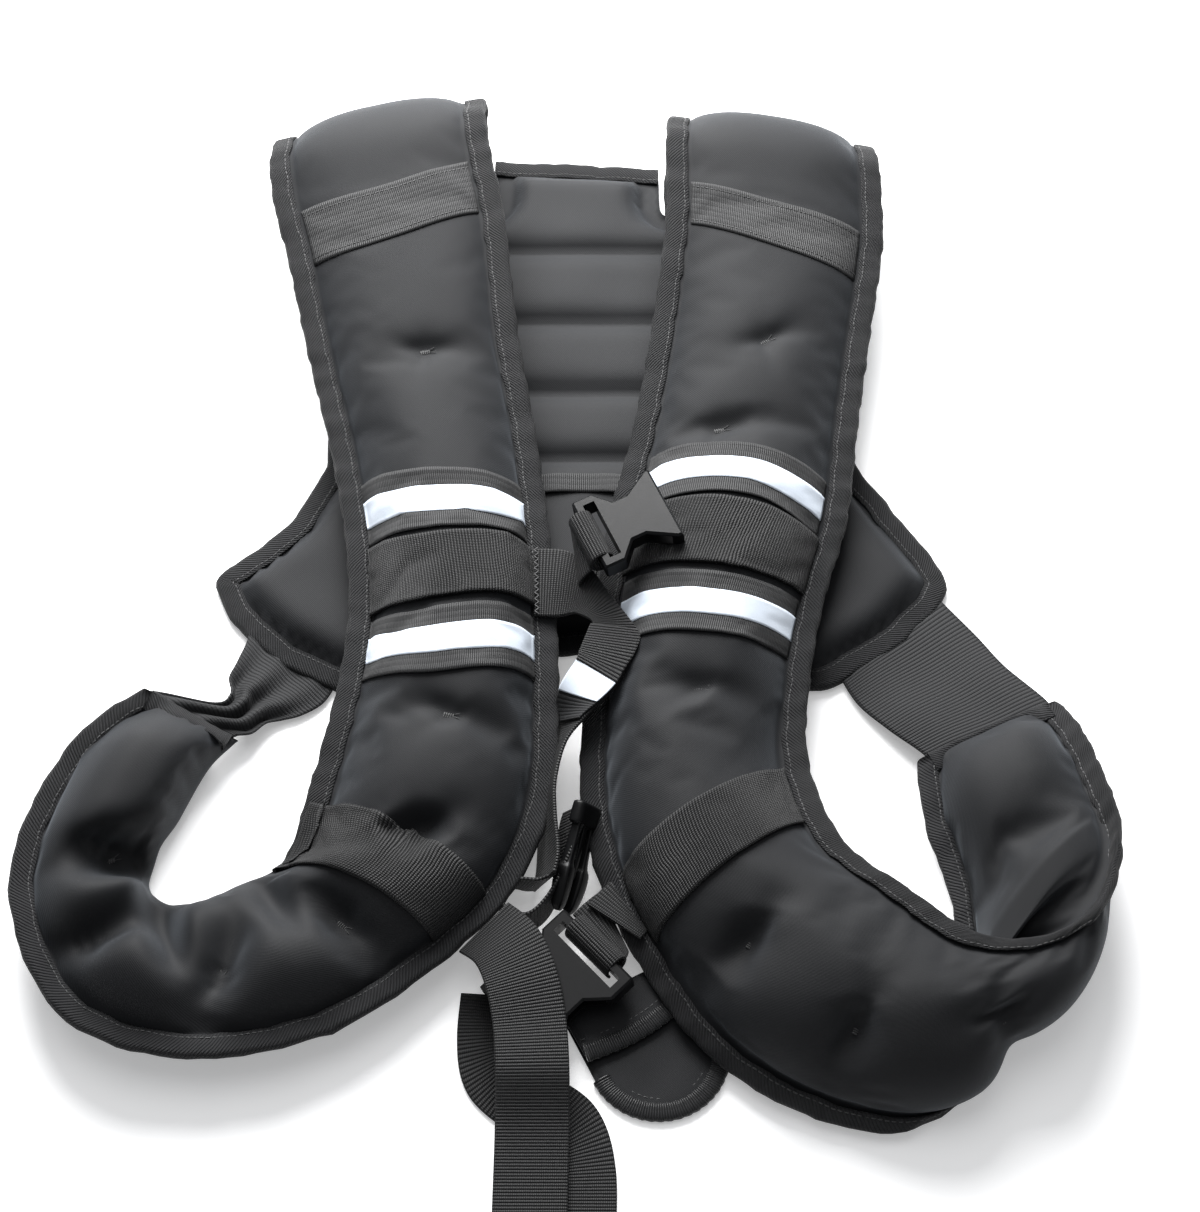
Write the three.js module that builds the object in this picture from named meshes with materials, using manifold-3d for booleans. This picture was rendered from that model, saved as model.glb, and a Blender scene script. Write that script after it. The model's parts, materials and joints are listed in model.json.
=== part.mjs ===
// A weighted vest that lies on its back panel, with both filled front panels folded over on top.
// Millimetres. +X is the viewer's right, +Y points to the neck end, +Z is up from the floor.
import * as THREE from "three";
import { mergeVertices } from "three/addons/utils/BufferGeometryUtils.js";
import Module from "manifold-3d";

const wasm = await Module();
wasm.setup();

// Driving sizes: the outline that the tables' shares of place refer to
const VEST_WIDTH = 580;
const VEST_LENGTH = 660;

// Padding
const PANEL_WIDTH = 130;
const PAD_DEPTH = 36;
const BACK_PAD = 16;
const CHANNEL_DEPTH = 5;
const CHANNEL_WIDTH = 18;
const FLANGE = 3;
const PAD_EDGE_BEVEL = 5;

// Twill binding that wraps the edges
const BINDING_WIDTH = 12;
const BINDING_THICKNESS = 1.4;

// Webbing, ribbon and elastic
const WEBBING_WIDTH = 50;
const STRAP_WIDTH = 38;
const WEBBING_THICKNESS = 1.8;
const RIBBON_WIDTH = 42;
const RIBBON_THICKNESS = 0.8;
const STRIPE_WIDTH = 22;
const STRIPE_THICKNESS = 0.4;
const TAPE_WIDTH = 38;
const ELASTIC_WIDTH = 74;
const ELASTIC_THICKNESS = 1.6;

// Pocket on the back panel
const POCKET_WIDTH = 112;
const POCKET_LENGTH = 96;
const POCKET_THICKNESS = 2.6;
const POCKET_MOUTH_RISE = 8;
const POCKET_RIBBON_WIDTH = 13;

// Buckles
const CHEST_BUCKLE_WIDTH = 48;
const CHEST_BUCKLE_LENGTH = 48;
const WAIST_BUCKLE_WIDTH = 54;
const WAIST_BUCKLE_LENGTH = 60;
const BUCKLE_DEPTH = 12;
const BUCKLE_WALL = 2.2;
const BUCKLE_WAIST = 10;
const BUCKLE_BAR = 5;
const BUCKLE_SLOT = 7;
const BUCKLE_BEVEL = 1.2;
const MALE_BASE_LENGTH = 20;
const PRONG_LENGTH = 36;
const PRONG_STEM = 6;
const PRONG_MARGIN = 3;
const PRONG_PAD_WIDTH = 11;
const PRONG_PAD_LENGTH = 20;
const PRONG_DEPTH = 7;

// Overlocked pad behind the waist buckle
const REST_PAD_RADIUS = 36;
const REST_PAD_LENGTH = 46;
const REST_PAD_THICKNESS = 2.6;
const REST_FLAP_LENGTH = 30;
const RIM_WIDTH = 8;
const RIM_THICKNESS = 1.0;

// Clear space between neighbouring pieces
const GAP = 0.4;

// Height at which a front panel's underside rests on the back panel and its pocket
const BACK_REST = BACK_PAD + POCKET_THICKNESS + 2 * GAP + RIBBON_THICKNESS;
const LIFTED_FLANGE = BINDING_THICKNESS + GAP;
const FLANGE_WIDTH = BINDING_WIDTH + 4 * GAP;
const FAR = 3 * VEST_LENGTH;

// Rows of numbers under named columns
function table(columns, ...rows) {
  return rows.map((row) =>
    Object.fromEntries(columns.map((name, i) => [name, row[i]])),
  );
}

// Front panels from the shoulder's fold to the end of the hook. x and y are the section's middle as
// shares of VEST_WIDTH and VEST_LENGTH. Its height is over, a share of BACK_REST, plus rise, a share of
// PAD_DEPTH. wide is a share of PANEL_WIDTH. turn and tilt give the direction from the armhole edge to
// the outer edge, in degrees. front and back are the padding on each side, as shares of PAD_DEPTH.
const SECTION = ["x", "y", "over", "rise", "wide", "turn", "tilt", "front", "back"];
const LEFT_SECTIONS = table(
  SECTION,
  [-0.236, 0.447, 0, 0.22, 1.0, 0, 0, 0.17, 0.17],
  [-0.236, 0.478, 0, 0.25, 1.0, 5, 0, 0.2, 0.17],
  [-0.237, 0.497, 0, 0.55, 1.0, 11, 0, 0.28, 0.2],
  [-0.237, 0.503, 0, 1.0, 1.0, 14, 0, 0.3, 0.2],
  [-0.237, 0.496, 0.5, 1.12, 1.0, 14, 2, 0.3, 0.2],
  [-0.236, 0.478, 0.8, 1.2, 1.0, 13, 3, 0.28, 0.2],
  [-0.235, 0.45, 1, 1.22, 1.0, 12, 4, 0.25, 0.2],
  [-0.225, 0.405, 1, 1.12, 1.0, 13, 4, 0.25, 0.22],
  [-0.211, 0.351, 1, 0.98, 0.98, 14, 4, 0.3, 0.25],
  [-0.19, 0.239, 1, 0.64, 0.92, 9, 3, 0.5, 0.4],
  [-0.17, 0.142, 1, 0.42, 0.91, 6, 1, 0.62, 0.4],
  [-0.153, 0.05, 1, 0.3, 0.89, 0, 0, 0.7, 0.3],
  [-0.144, -0.036, 1, 0.25, 0.89, -3, 0, 0.75, 0.25],
  [-0.143, -0.113, 0.85, 0.3, 0.91, -3, 0, 0.8, 0.3],
  [-0.155, -0.204, 0.2, 0.56, 0.96, -4, 0, 0.8, 0.6],
  [-0.186, -0.276, 0, 0.56, 0.95, -9, 2, 0.82, 0.6],
  [-0.239, -0.316, 0, 0.48, 0.92, -24, 5, 0.85, 0.6],
  [-0.31, -0.345, 0, 0.46, 0.77, -43, 9, 0.88, 0.6],
  [-0.378, -0.345, 0, 0.48, 0.65, -69, 12, 0.88, 0.6],
  [-0.433, -0.323, 0, 0.5, 0.6, -106, 15, 0.88, 0.6],
  [-0.466, -0.273, 0, 0.53, 0.6, -145, 17, 0.88, 0.6],
  [-0.463, -0.226, 0, 0.56, 0.63, -171, 17, 0.88, 0.6],
  [-0.433, -0.163, 0, 0.59, 0.58, -187, 17, 0.75, 0.6],
  [-0.391, -0.129, 0, 0.6, 0.45, -204, 18, 0.2, 0.2],
);
const RIGHT_SECTIONS = table(
  SECTION,
  [0.186, 0.443, 0, 0.22, 1.0, 180, 0, 0.17, 0.17],
  [0.186, 0.47, 0, 0.25, 1.0, 177, 0, 0.2, 0.17],
  [0.187, 0.486, 0, 0.55, 1.0, 172, 0, 0.28, 0.2],
  [0.187, 0.491, 0, 1.0, 1.0, 170, 0, 0.3, 0.2],
  [0.187, 0.485, 0.5, 1.12, 1.0, 170, 2, 0.3, 0.2],
  [0.186, 0.468, 0.8, 1.2, 1.0, 171, 4, 0.28, 0.2],
  [0.186, 0.442, 1, 1.22, 1.02, 172, 5, 0.25, 0.2],
  [0.186, 0.4, 1, 1.1, 1.02, 173, 5, 0.25, 0.22],
  [0.184, 0.352, 1, 0.95, 1.01, 174, 4, 0.3, 0.25],
  [0.167, 0.252, 1, 0.64, 0.99, 177, 1, 0.5, 0.4],
  [0.148, 0.152, 1, 0.45, 1.0, 180, 0, 0.55, 0.4],
  [0.128, 0.059, 1, 0.33, 1.04, 180, 0, 0.68, 0.3],
  [0.107, -0.033, 1, 0.28, 0.99, 186, 0, 0.75, 0.25],
  [0.093, -0.114, 0.85, 0.31, 0.96, 188, -1, 0.8, 0.3],
  [0.089, -0.193, 0.2, 0.6, 0.95, 190, -3, 0.8, 0.6],
  [0.108, -0.27, 0, 0.78, 0.95, 187, -9, 0.75, 0.6],
  [0.153, -0.328, 0, 0.83, 1.08, 190, -13, 0.72, 0.6],
  [0.213, -0.383, 0, 0.86, 1.15, 198, -16, 0.7, 0.6],
  [0.284, -0.407, 0, 0.88, 1.15, 212, -18, 0.68, 0.6],
  [0.35, -0.395, 0, 0.85, 1.15, 226, -18, 0.62, 0.6],
  [0.391, -0.342, 0, 0.77, 1.08, 233, -17, 0.55, 0.6],
  [0.393, -0.245, 0, 0.64, 0.86, 224, -16, 0.5, 0.65],
  [0.38, -0.184, 0, 0.53, 0.78, 214, -10, 0.45, 0.6],
  [0.371, -0.14, 0, 0.44, 0.65, 203, -5, 0.2, 0.2],
);
const SEAM_STATION = 7.7;

// Tacks and creases that pull the padding in. x and y are shares of VEST_WIDTH and VEST_LENGTH, deep is
// a share of the padding, long and broad are shares of PANEL_WIDTH, and turn is the crease's direction.
const DENT = ["x", "y", "deep", "long", "broad", "turn"];
const LEFT_DENTS = table(
  DENT,
  [-0.179, 0.217, 0.4, 0.22, 0.12, 10],
  [-0.141, -0.155, 0.45, 0.35, 0.12, -14],
  [-0.167, -0.253, 0.5, 0.16, 0.13, 20],
  [-0.233, -0.327, 0.55, 0.3, 0.12, -40],
  [-0.338, -0.374, 0.6, 0.35, 0.13, 75],
  [-0.459, -0.345, 0.6, 0.4, 0.13, 30],
  [-0.453, -0.265, 0.5, 0.35, 0.13, 20],
);
const RIGHT_DENTS = table(
  DENT,
  [0.169, 0.226, 0.4, 0.3, 0.12, 30],
  [0.12, 0.135, 0.35, 0.6, 0.14, 10],
  [0.093, -0.13, 0.45, 0.16, 0.13, 0],
  [0.134, -0.35, 0.5, 0.16, 0.13, 50],
  [0.224, -0.421, 0.5, 0.16, 0.13, 60],
  [0.352, -0.417, 0.5, 0.16, 0.13, 30],
  [0.416, -0.248, 0.5, 0.35, 0.12, 45],
);

// Half outlines of the back panel from the neck to the middle of the bottom edge, as shares of
// VEST_WIDTH and VEST_LENGTH.
const CORNER = ["x", "y"];
const BACK_LEFT = table(
  CORNER,
  [-0.118, 0.512],
  [-0.117, 0.446],
  [-0.345, 0.446],
  [-0.31, 0.37],
  [-0.28, 0.24],
  [-0.281, 0.14],
  [-0.318, 0.075],
  [-0.388, 0.022],
  [-0.368, -0.016],
  [-0.322, -0.058],
  [-0.248, -0.094],
  [-0.15, -0.06],
);
const BACK_RIGHT = table(
  CORNER,
  [0.066, 0.502],
  [0.066, 0.442],
  [0.29, 0.442],
  [0.262, 0.36],
  [0.244, 0.25],
  [0.262, 0.145],
  [0.306, 0.084],
  [0.35, 0.022],
  [0.336, -0.008],
  [0.288, -0.05],
  [0.212, -0.092],
  [0.13, -0.06],
);
const NECK_BOTTOM = { x: -0.028, y: 0.492 };
const BOTTOM_MIDDLE = { x: -0.028, y: -0.042 };
const CHANNELS = [0.389, 0.302, 0.221, 0.146];
const POCKET_AT = { x: -0.019, y: 0.122 };

const COLOURS = {
  neoprene: 0x26282c,
  twill: 0x1b1c1f,
  webbing: 0x17181a,
  grosgrain: 0x3a3d40,
  reflective: 0xdfe6ee,
  plastic: 0x121315,
  elastic: 0x1f2023,
};
const FINISHES = {
  neoprene: 0.8,
  twill: 0.9,
  webbing: 0.75,
  grosgrain: 0.8,
  reflective: 0.35,
  plastic: 0.35,
  elastic: 0.85,
};

// Values of a table's row s, between rows on a smooth curve through them
function rowAt(rows, s) {
  const i = Math.min(Math.max(Math.floor(s), 0), rows.length - 2);
  const t = s - i;
  const [a, b, c, d] = [i - 1, i, i + 1, i + 2].map(
    (k) => rows[Math.min(Math.max(k, 0), rows.length - 1)],
  );
  const smooth = (name) =>
    0.5 *
    (2 * b[name] +
      (c[name] - a[name]) * t +
      (2 * a[name] - 5 * b[name] + 4 * c[name] - d[name]) * t * t +
      (3 * b[name] - a[name] - 3 * c[name] + d[name]) * t * t * t);
  return Object.fromEntries(Object.keys(b).map((name) => [name, smooth(name)]));
}

function direction(turn, tilt) {
  const [a, b] = [turn, tilt].map(THREE.MathUtils.degToRad);
  return new THREE.Vector3(
    Math.cos(a) * Math.cos(b),
    Math.sin(a) * Math.cos(b),
    Math.sin(b),
  );
}

function middleAt(rows, s) {
  const row = rowAt(rows, s);
  return new THREE.Vector3(
    row.x * VEST_WIDTH,
    row.y * VEST_LENGTH,
    row.over * BACK_REST + row.rise * PAD_DEPTH,
  );
}

// One section of a front panel: its edges, the direction across and the normal of the front side
function sectionAt(panel, s) {
  const row = rowAt(panel.rows, s);
  const last = panel.rows.length - 1;
  const middle = middleAt(panel.rows, s);
  const across = direction(row.turn, row.tilt);
  const ahead = middleAt(panel.rows, Math.min(s + 0.1, last)).sub(
    middleAt(panel.rows, Math.max(s - 0.1, 0)),
  );
  const normal = ahead.cross(across).multiplyScalar(panel.flip).normalize();
  const width = row.wide * PANEL_WIDTH;
  const armhole = middle.clone().addScaledVector(across, -width / 2);
  const floor = Math.max(row.over, 0) * BACK_REST;
  return { row, across, normal, width, armhole, floor };
}

// Share of the padding that is left at a point of the plan
function puffAt(dents, point) {
  return dents.reduce((left, dent) => {
    const angle = THREE.MathUtils.degToRad(dent.turn);
    const dx = point.x - dent.x * VEST_WIDTH;
    const dy = point.y - dent.y * VEST_LENGTH;
    const along = (dx * Math.cos(angle) + dy * Math.sin(angle)) / dent.long;
    const beside = (dy * Math.cos(angle) - dx * Math.sin(angle)) / dent.broad;
    const away = (along * along + beside * beside) / PANEL_WIDTH ** 2;
    return left * (1 - dent.deep * Math.exp(-away));
  }, 1);
}

// A point of a section: reach is its distance from the armhole edge, side is 1 on the front and -1 on
// the back, and proud is how far it stands out from the padding.
function panelPoint(panel, section, reach, side, proud = 0) {
  const { row, across, normal, width, armhole, floor } = section;
  const point = armhole.clone().addScaledVector(across, reach);
  const inner = (reach - FLANGE_WIDTH) / (width - 2 * FLANGE_WIDTH);
  const swell =
    inner > 0 && inner < 1 ? (1 - Math.abs(2 * inner - 1) ** 2.6) ** 0.75 : 0;
  const pad = (side > 0 ? row.front : row.back) * PAD_DEPTH;
  const puff = side > 0 || panel.dentBack(row) ? puffAt(panel.dents, point) : 1;
  const height = FLANGE / 2 + pad * swell * puff + proud;
  point.addScaledVector(normal, side * height);
  point.z = Math.max(point.z, floor);
  return point;
}

const FRONT_STOPS = [0.02, 0.12, 0.3, 0.5, 0.7, 0.88, 0.98];
const BACK_STOPS = [0.92, 0.7, 0.4, 0.1];

function reachOf(section, stop) {
  return FLANGE_WIDTH + stop * (section.width - 2 * FLANGE_WIDTH);
}

// Closed loop of a whole section, with the front side first
function padRing(panel, s, proud) {
  const section = sectionAt(panel, s);
  const { width } = section;
  const at = (reach, side) =>
    panelPoint(panel, section, reach, side, side > 0 ? proud : 0);
  return [
    at(0, 1),
    at(FLANGE_WIDTH, 1),
    ...FRONT_STOPS.map((stop) => at(reachOf(section, stop), 1)),
    at(width - FLANGE_WIDTH, 1),
    at(width, 1),
    at(width, -1),
    at(width - FLANGE_WIDTH, -1),
    ...BACK_STOPS.map((stop) => at(reachOf(section, stop), -1)),
    at(FLANGE_WIDTH, -1),
    at(0, -1),
  ];
}

// Closed loop between the middle plane and a skin that stands proud of the front side
function skinRing(panel, s, proud) {
  const section = sectionAt(panel, s);
  const front = FRONT_STOPS.map((stop) =>
    panelPoint(panel, section, reachOf(section, stop), 1, proud),
  );
  const { armhole, across } = section;
  const under = [FRONT_STOPS.at(-1), FRONT_STOPS[0]].map((stop) =>
    armhole.clone().addScaledVector(across, reachOf(section, stop)),
  );
  return [...front, ...under];
}

// Closed mesh through rings of equally many points. Its ends are fans, or the triangles of cap.
function loft(rings, cap) {
  const count = rings[0].length;
  const points = rings.flat();
  const faces = [];
  for (let i = 0; i + 1 < rings.length; i += 1) {
    for (let j = 0; j < count; j += 1) {
      const [a, b] = [i * count + j, i * count + ((j + 1) % count)];
      faces.push([a, b, b + count], [a, b + count, a + count]);
    }
  }
  const ends = [0, rings.length - 1];
  for (const end of ends) {
    if (cap) {
      for (const triangle of cap) {
        const [a, b, c] = triangle.map((corner) => corner + end * count);
        faces.push(end === 0 ? [a, c, b] : [a, b, c]);
      }
      continue;
    }
    const hub = points.length;
    const sum = new THREE.Vector3();
    rings[end].forEach((p) => sum.add(p));
    points.push(sum.divideScalar(count));
    for (let j = 0; j < count; j += 1) {
      const [a, b] = [end * count + j, end * count + ((j + 1) % count)];
      faces.push(end === 0 ? [hub, b, a] : [hub, a, b]);
    }
  }
  return outward(points, faces);
}

// Geometry whose faces point out, whichever way they were listed
function outward(points, faces) {
  const volume = faces.reduce((sum, [a, b, c]) => {
    const turned = points[b].clone().cross(points[c]);
    return sum + points[a].dot(turned);
  }, 0);
  const order = volume < 0 ? faces.map(([a, b, c]) => [a, c, b]) : faces;
  const geometry = new THREE.BufferGeometry().setFromPoints(points);
  geometry.setIndex(order.flat());
  return geometry;
}

function solid(geometry) {
  const bare = geometry.clone();
  bare.deleteAttribute("normal");
  bare.deleteAttribute("uv");
  const merged = mergeVertices(bare, 1e-4);
  return new wasm.Manifold(
    new wasm.Mesh({
      numProp: 3,
      vertProperties: merged.attributes.position.array,
      triVerts: new Uint32Array(merged.index.array),
    }),
  );
}

// Geometry of the largest body of a joined or cut solid
function shape(manifold) {
  const bodies = manifold.decompose();
  const main = bodies.reduce((a, b) => (b.volume() > a.volume() ? b : a));
  const { vertProperties, triVerts } = main.getMesh();
  const geometry = new THREE.BufferGeometry();
  geometry.setAttribute("position", new THREE.BufferAttribute(vertProperties, 3));
  geometry.setIndex(new THREE.BufferAttribute(triVerts, 1));
  return geometry;
}

// An outline moved inwards along the bisector of each corner, or outwards where distance is negative
function inset(points, distance) {
  const count = points.length;
  return points.map((p, i) => {
    const before = p.clone().sub(points[(i + count - 1) % count]).normalize();
    const after = points[(i + 1) % count].clone().sub(p).normalize();
    const inward = new THREE.Vector2(-before.y - after.y, before.x + after.x).normalize();
    const slant = Math.max(inward.dot(new THREE.Vector2(-after.y, after.x)), 0.5);
    return p.clone().addScaledVector(inward, distance / slant);
  });
}

// Solid through level outlines, each given as its points and its height
function stack(...layers) {
  const rising = THREE.ShapeUtils.area(layers[0].points) > 0;
  const rings = layers.map(({ points, z }) => {
    const ordered = rising ? points : [...points].reverse();
    return ordered.map((p) => new THREE.Vector3(p.x, p.y, z));
  });
  const count = rings[0].length;
  const faces = [];
  for (let i = 0; i + 1 < rings.length; i += 1) {
    for (let j = 0; j < count; j += 1) {
      const [a, b] = [i * count + j, i * count + ((j + 1) % count)];
      faces.push([a, b, b + count], [a, b + count, a + count]);
    }
  }
  for (const end of [0, rings.length - 1]) {
    const flat = rings[end].map((p) => new THREE.Vector2(p.x, p.y));
    for (const [a, b, c] of THREE.ShapeUtils.triangulateShape(flat, [])) {
      const [i, j, k] = [a, b, c].map((n) => n + end * count);
      faces.push(end === 0 ? [i, k, j] : [i, j, k]);
    }
  }
  return outward(rings.flat(), faces);
}

// A plan outline made solid from one height to another, grown sideways
function plate(points, low, high, grow = 0) {
  const edge = anticlockwise(points);
  const grown = grow === 0 ? edge : inset(edge, -grow);
  return solid(stack({ points: grown, z: low }, { points: grown, z: high }));
}

function anticlockwise(points) {
  const flat = points.map((p) => new THREE.Vector2(p.x, p.y));
  return THREE.ShapeUtils.area(flat) > 0 ? flat : flat.reverse();
}

function box(x0, x1, y0, y1, z0, z1) {
  const geometry = new THREE.BoxGeometry(x1 - x0, y1 - y0, z1 - z0);
  return solid(
    geometry.translate((x0 + x1) / 2, (y0 + y1) / 2, (z0 + z1) / 2),
  );
}

const root = new THREE.Group();

function addPiece(name, finish, geometry, parent = root) {
  const material = new THREE.MeshStandardMaterial({
    color: COLOURS[finish],
    roughness: FINISHES[finish],
    metalness: 0,
  });
  const mesh = new THREE.Mesh(geometry, material);
  mesh.name = name;
  parent.add(mesh);
  return mesh;
}

// Even steps from one value to another
function steps(from, to, count) {
  return Array.from({ length: count + 1 }, (_, i) => from + ((to - from) * i) / count);
}

const LEFT = {
  side: "left",
  rows: LEFT_SECTIONS,
  dents: LEFT_DENTS,
  flip: 1,
  twist: [],
  dentBack: () => false,
};
const RIGHT = {
  side: "right",
  rows: RIGHT_SECTIONS,
  dents: RIGHT_DENTS,
  flip: -1,
  twist: [18, 19, 20, 21],
  dentBack: (row) => row.x > 0.37 && row.y > -0.3,
};

// Stations of the rings: one a row on the shoulder, two a row on the front panel, four a row where the
// hook twists, and one on each side of the seam between shoulder and front panel
function ringStations(panel, from, to) {
  const last = panel.rows.length - 1;
  const all = [
    ...steps(0, 7, 7),
    SEAM_STATION - panel.seamGap,
    SEAM_STATION + panel.seamGap,
    ...steps(8, last, 2 * (last - 8)),
    ...panel.twist.flatMap((row) => [row + 0.25, row + 0.75]),
  ];
  return all.filter((s) => s >= from && s <= to).sort((a, b) => a - b);
}

function padSolid(panel, from, to, proud = 0) {
  return loft(ringStations(panel, from, to).map((s) => padRing(panel, s, proud)));
}

// Distance along the middle of a panel, turned into a station
function stationAfter(panel, from, distance) {
  const step = distance < 0 ? -0.02 : 0.02;
  let [s, gone] = [from, 0];
  while (gone < Math.abs(distance)) {
    gone += middleAt(panel.rows, s + step).distanceTo(middleAt(panel.rows, s));
    s += step;
  }
  return s;
}

for (const panel of [LEFT, RIGHT]) {
  const last = panel.rows.length - 1;
  panel.last = last;
  panel.seamGap = stationAfter(panel, SEAM_STATION, GAP / 2) - SEAM_STATION;
  panel.whole = (proud) => solid(padSolid(panel, 0, last, proud));
  panel.skin = (proud) =>
    solid(loft(ringStations(panel, 0, last).map((s) => skinRing(panel, s, proud))));
  addPiece(`${panel.side}_shoulder`, "neoprene", padSolid(panel, 0, SEAM_STATION));
  addPiece(`${panel.side}_front_panel`, "neoprene", padSolid(panel, SEAM_STATION, last));
}

// Binding that wraps one edge of a front panel: a U-shaped section carried along the edge
function edgeBinding(panel, edge) {
  const near = FLANGE / 2 + GAP;
  const far = near + BINDING_THICKNESS;
  const profile = [
    [BINDING_WIDTH, far],
    [-GAP - BINDING_THICKNESS, far],
    [-GAP - BINDING_THICKNESS, -far],
    [BINDING_WIDTH, -far],
    [BINDING_WIDTH, -near],
    [-GAP, -near],
    [-GAP, near],
    [BINDING_WIDTH, near],
  ];
  const rings = ringStations(panel, 0, panel.last).map((s) => {
    const { armhole, across, normal, width } = sectionAt(panel, s);
    return profile.map(([inward, out]) =>
      armhole
        .clone()
        .addScaledVector(across, edge === "armhole" ? inward : width - inward)
        .addScaledVector(normal, out),
    );
  });
  const flat = profile.map(([inward, out]) => new THREE.Vector2(inward, out));
  return loft(rings, THREE.ShapeUtils.triangulateShape(flat, []));
}
for (const panel of [LEFT, RIGHT]) {
  for (const edge of ["armhole", "outer"]) {
    addPiece(`${panel.side}_${edge}_binding`, "twill", edgeBinding(panel, edge));
  }
}

// A band that lies on a front panel inside a plan outline, with its underside proud of the padding
function bandOn(panel, outline, proud, thickness) {
  const over = panel.skin(proud + thickness).intersect(plate(outline, -FAR, FAR));
  return shape(over.subtract(panel.whole(proud)));
}

// Plan outline of a band straight across a panel, from one station to another
function acrossOutline(panel, from, to) {
  const edge = (s) => {
    const { armhole, across, width } = sectionAt(panel, s);
    return [-0.1, 1.1].map((share) => armhole.clone().addScaledVector(across, share * width));
  };
  const [a, b] = edge(from);
  const [c, d] = edge(to);
  return panel.flip > 0 ? [a, c, d, b] : [b, d, c, a];
}

function bandAcross(panel, centre, offset, width, proud, thickness) {
  const from = stationAfter(panel, centre, offset - width / 2);
  const to = stationAfter(panel, centre, offset + width / 2);
  return bandOn(panel, acrossOutline(panel, from, to), proud, thickness);
}

// Stations where the chest and waist webbing cross the outer edges
const CHEST_STATION = { left: 11.84, right: 11.52 };
const WAIST_STATION = { left: 15.5, right: 15.55 };
for (const panel of [LEFT, RIGHT]) {
  const { side } = panel;
  const chest = CHEST_STATION[side];
  const beside = WEBBING_WIDTH / 2 + RIBBON_WIDTH / 2 + GAP;
  const stripeProud = GAP + RIBBON_THICKNESS + GAP;
  addPiece(
    `${side}_shoulder_tape`,
    "grosgrain",
    bandAcross(panel, SEAM_STATION, 0, TAPE_WIDTH, GAP, RIBBON_THICKNESS),
  );
  addPiece(
    `${side}_chest_webbing`,
    "webbing",
    bandAcross(panel, chest, 0, WEBBING_WIDTH, GAP, WEBBING_THICKNESS),
  );
  for (const [level, offset] of [["upper", -beside], ["lower", beside]]) {
    addPiece(
      `${side}_${level}_ribbon`,
      "grosgrain",
      bandAcross(panel, chest, offset, RIBBON_WIDTH, GAP, RIBBON_THICKNESS),
    );
    addPiece(
      `${side}_${level}_stripe`,
      "reflective",
      bandAcross(panel, chest, offset, STRIPE_WIDTH, stripeProud, STRIPE_THICKNESS),
    );
  }
}

// Webbing that runs slantwise over each front panel to the waist, from the armhole to the outer edge
const SLANT = ["fromX", "fromY", "toX", "toY"];
const [LEFT_SLANT, RIGHT_SLANT] = table(
  SLANT,
  [-0.3, -0.222, -0.09, -0.342],
  [0.21, -0.188, 0.01, -0.318],
);
function slantOutline(slant) {
  const from = new THREE.Vector2(slant.fromX * VEST_WIDTH, slant.fromY * VEST_LENGTH);
  const to = new THREE.Vector2(slant.toX * VEST_WIDTH, slant.toY * VEST_LENGTH);
  const along = to.clone().sub(from).normalize();
  const half = new THREE.Vector2(-along.y, along.x).multiplyScalar(WEBBING_WIDTH / 2);
  return [
    from.clone().add(half),
    from.clone().sub(half),
    to.clone().sub(half),
    to.clone().add(half),
  ];
}
for (const [panel, slant] of [[LEFT, LEFT_SLANT], [RIGHT, RIGHT_SLANT]]) {
  addPiece(
    `${panel.side}_waist_webbing`,
    "webbing",
    bandOn(panel, slantOutline(slant), GAP, WEBBING_THICKNESS),
  );
}

// Back panel: a thin flange all round, a thick pad inside it, and channels sewn across
const place = (p) => new THREE.Vector2(p.x * VEST_WIDTH, p.y * VEST_LENGTH);
const neckCurve = new THREE.QuadraticBezierCurve(
  place(BACK_RIGHT[0]),
  place({ x: NECK_BOTTOM.x, y: 2 * NECK_BOTTOM.y - (BACK_LEFT[0].y + BACK_RIGHT[0].y) / 2 }),
  place(BACK_LEFT[0]),
);
const bottomCurve = new THREE.QuadraticBezierCurve(
  place(BACK_LEFT.at(-1)),
  place(BOTTOM_MIDDLE),
  place(BACK_RIGHT.at(-1)),
);
const backOutline = [
  ...BACK_LEFT.map(place),
  ...bottomCurve.getPoints(4).slice(1, -1),
  ...BACK_RIGHT.map(place).reverse(),
  ...neckCurve.getPoints(8).slice(1, -1),
];
const flangeLow = LIFTED_FLANGE;
const flangeHigh = LIFTED_FLANGE + FLANGE;

function bevelled(points, low, high, shrink, bevel) {
  const edge = anticlockwise(points);
  const wide = inset(edge, shrink);
  const narrow = inset(edge, shrink + bevel);
  return solid(
    stack(
      { points: narrow, z: low },
      { points: wide, z: low + bevel },
      { points: wide, z: high - bevel },
      { points: narrow, z: high },
    ),
  );
}

let backSolid = plate(backOutline, flangeLow, flangeHigh).add(
  bevelled(backOutline, 0, BACK_PAD, FLANGE_WIDTH, PAD_EDGE_BEVEL),
);
for (const share of CHANNELS) {
  const groove = new THREE.CylinderGeometry(CHANNEL_WIDTH / 2, CHANNEL_WIDTH / 2, VEST_WIDTH, 10);
  groove.scale(1, 1, (2 * CHANNEL_DEPTH) / CHANNEL_WIDTH);
  groove.rotateZ(Math.PI / 2);
  groove.rotateX(Math.PI / 2);
  backSolid = backSolid.subtract(
    solid(groove.translate(0, share * VEST_LENGTH, BACK_PAD)),
  );
}
addPiece("back_panel", "neoprene", shape(backSolid));

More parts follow.
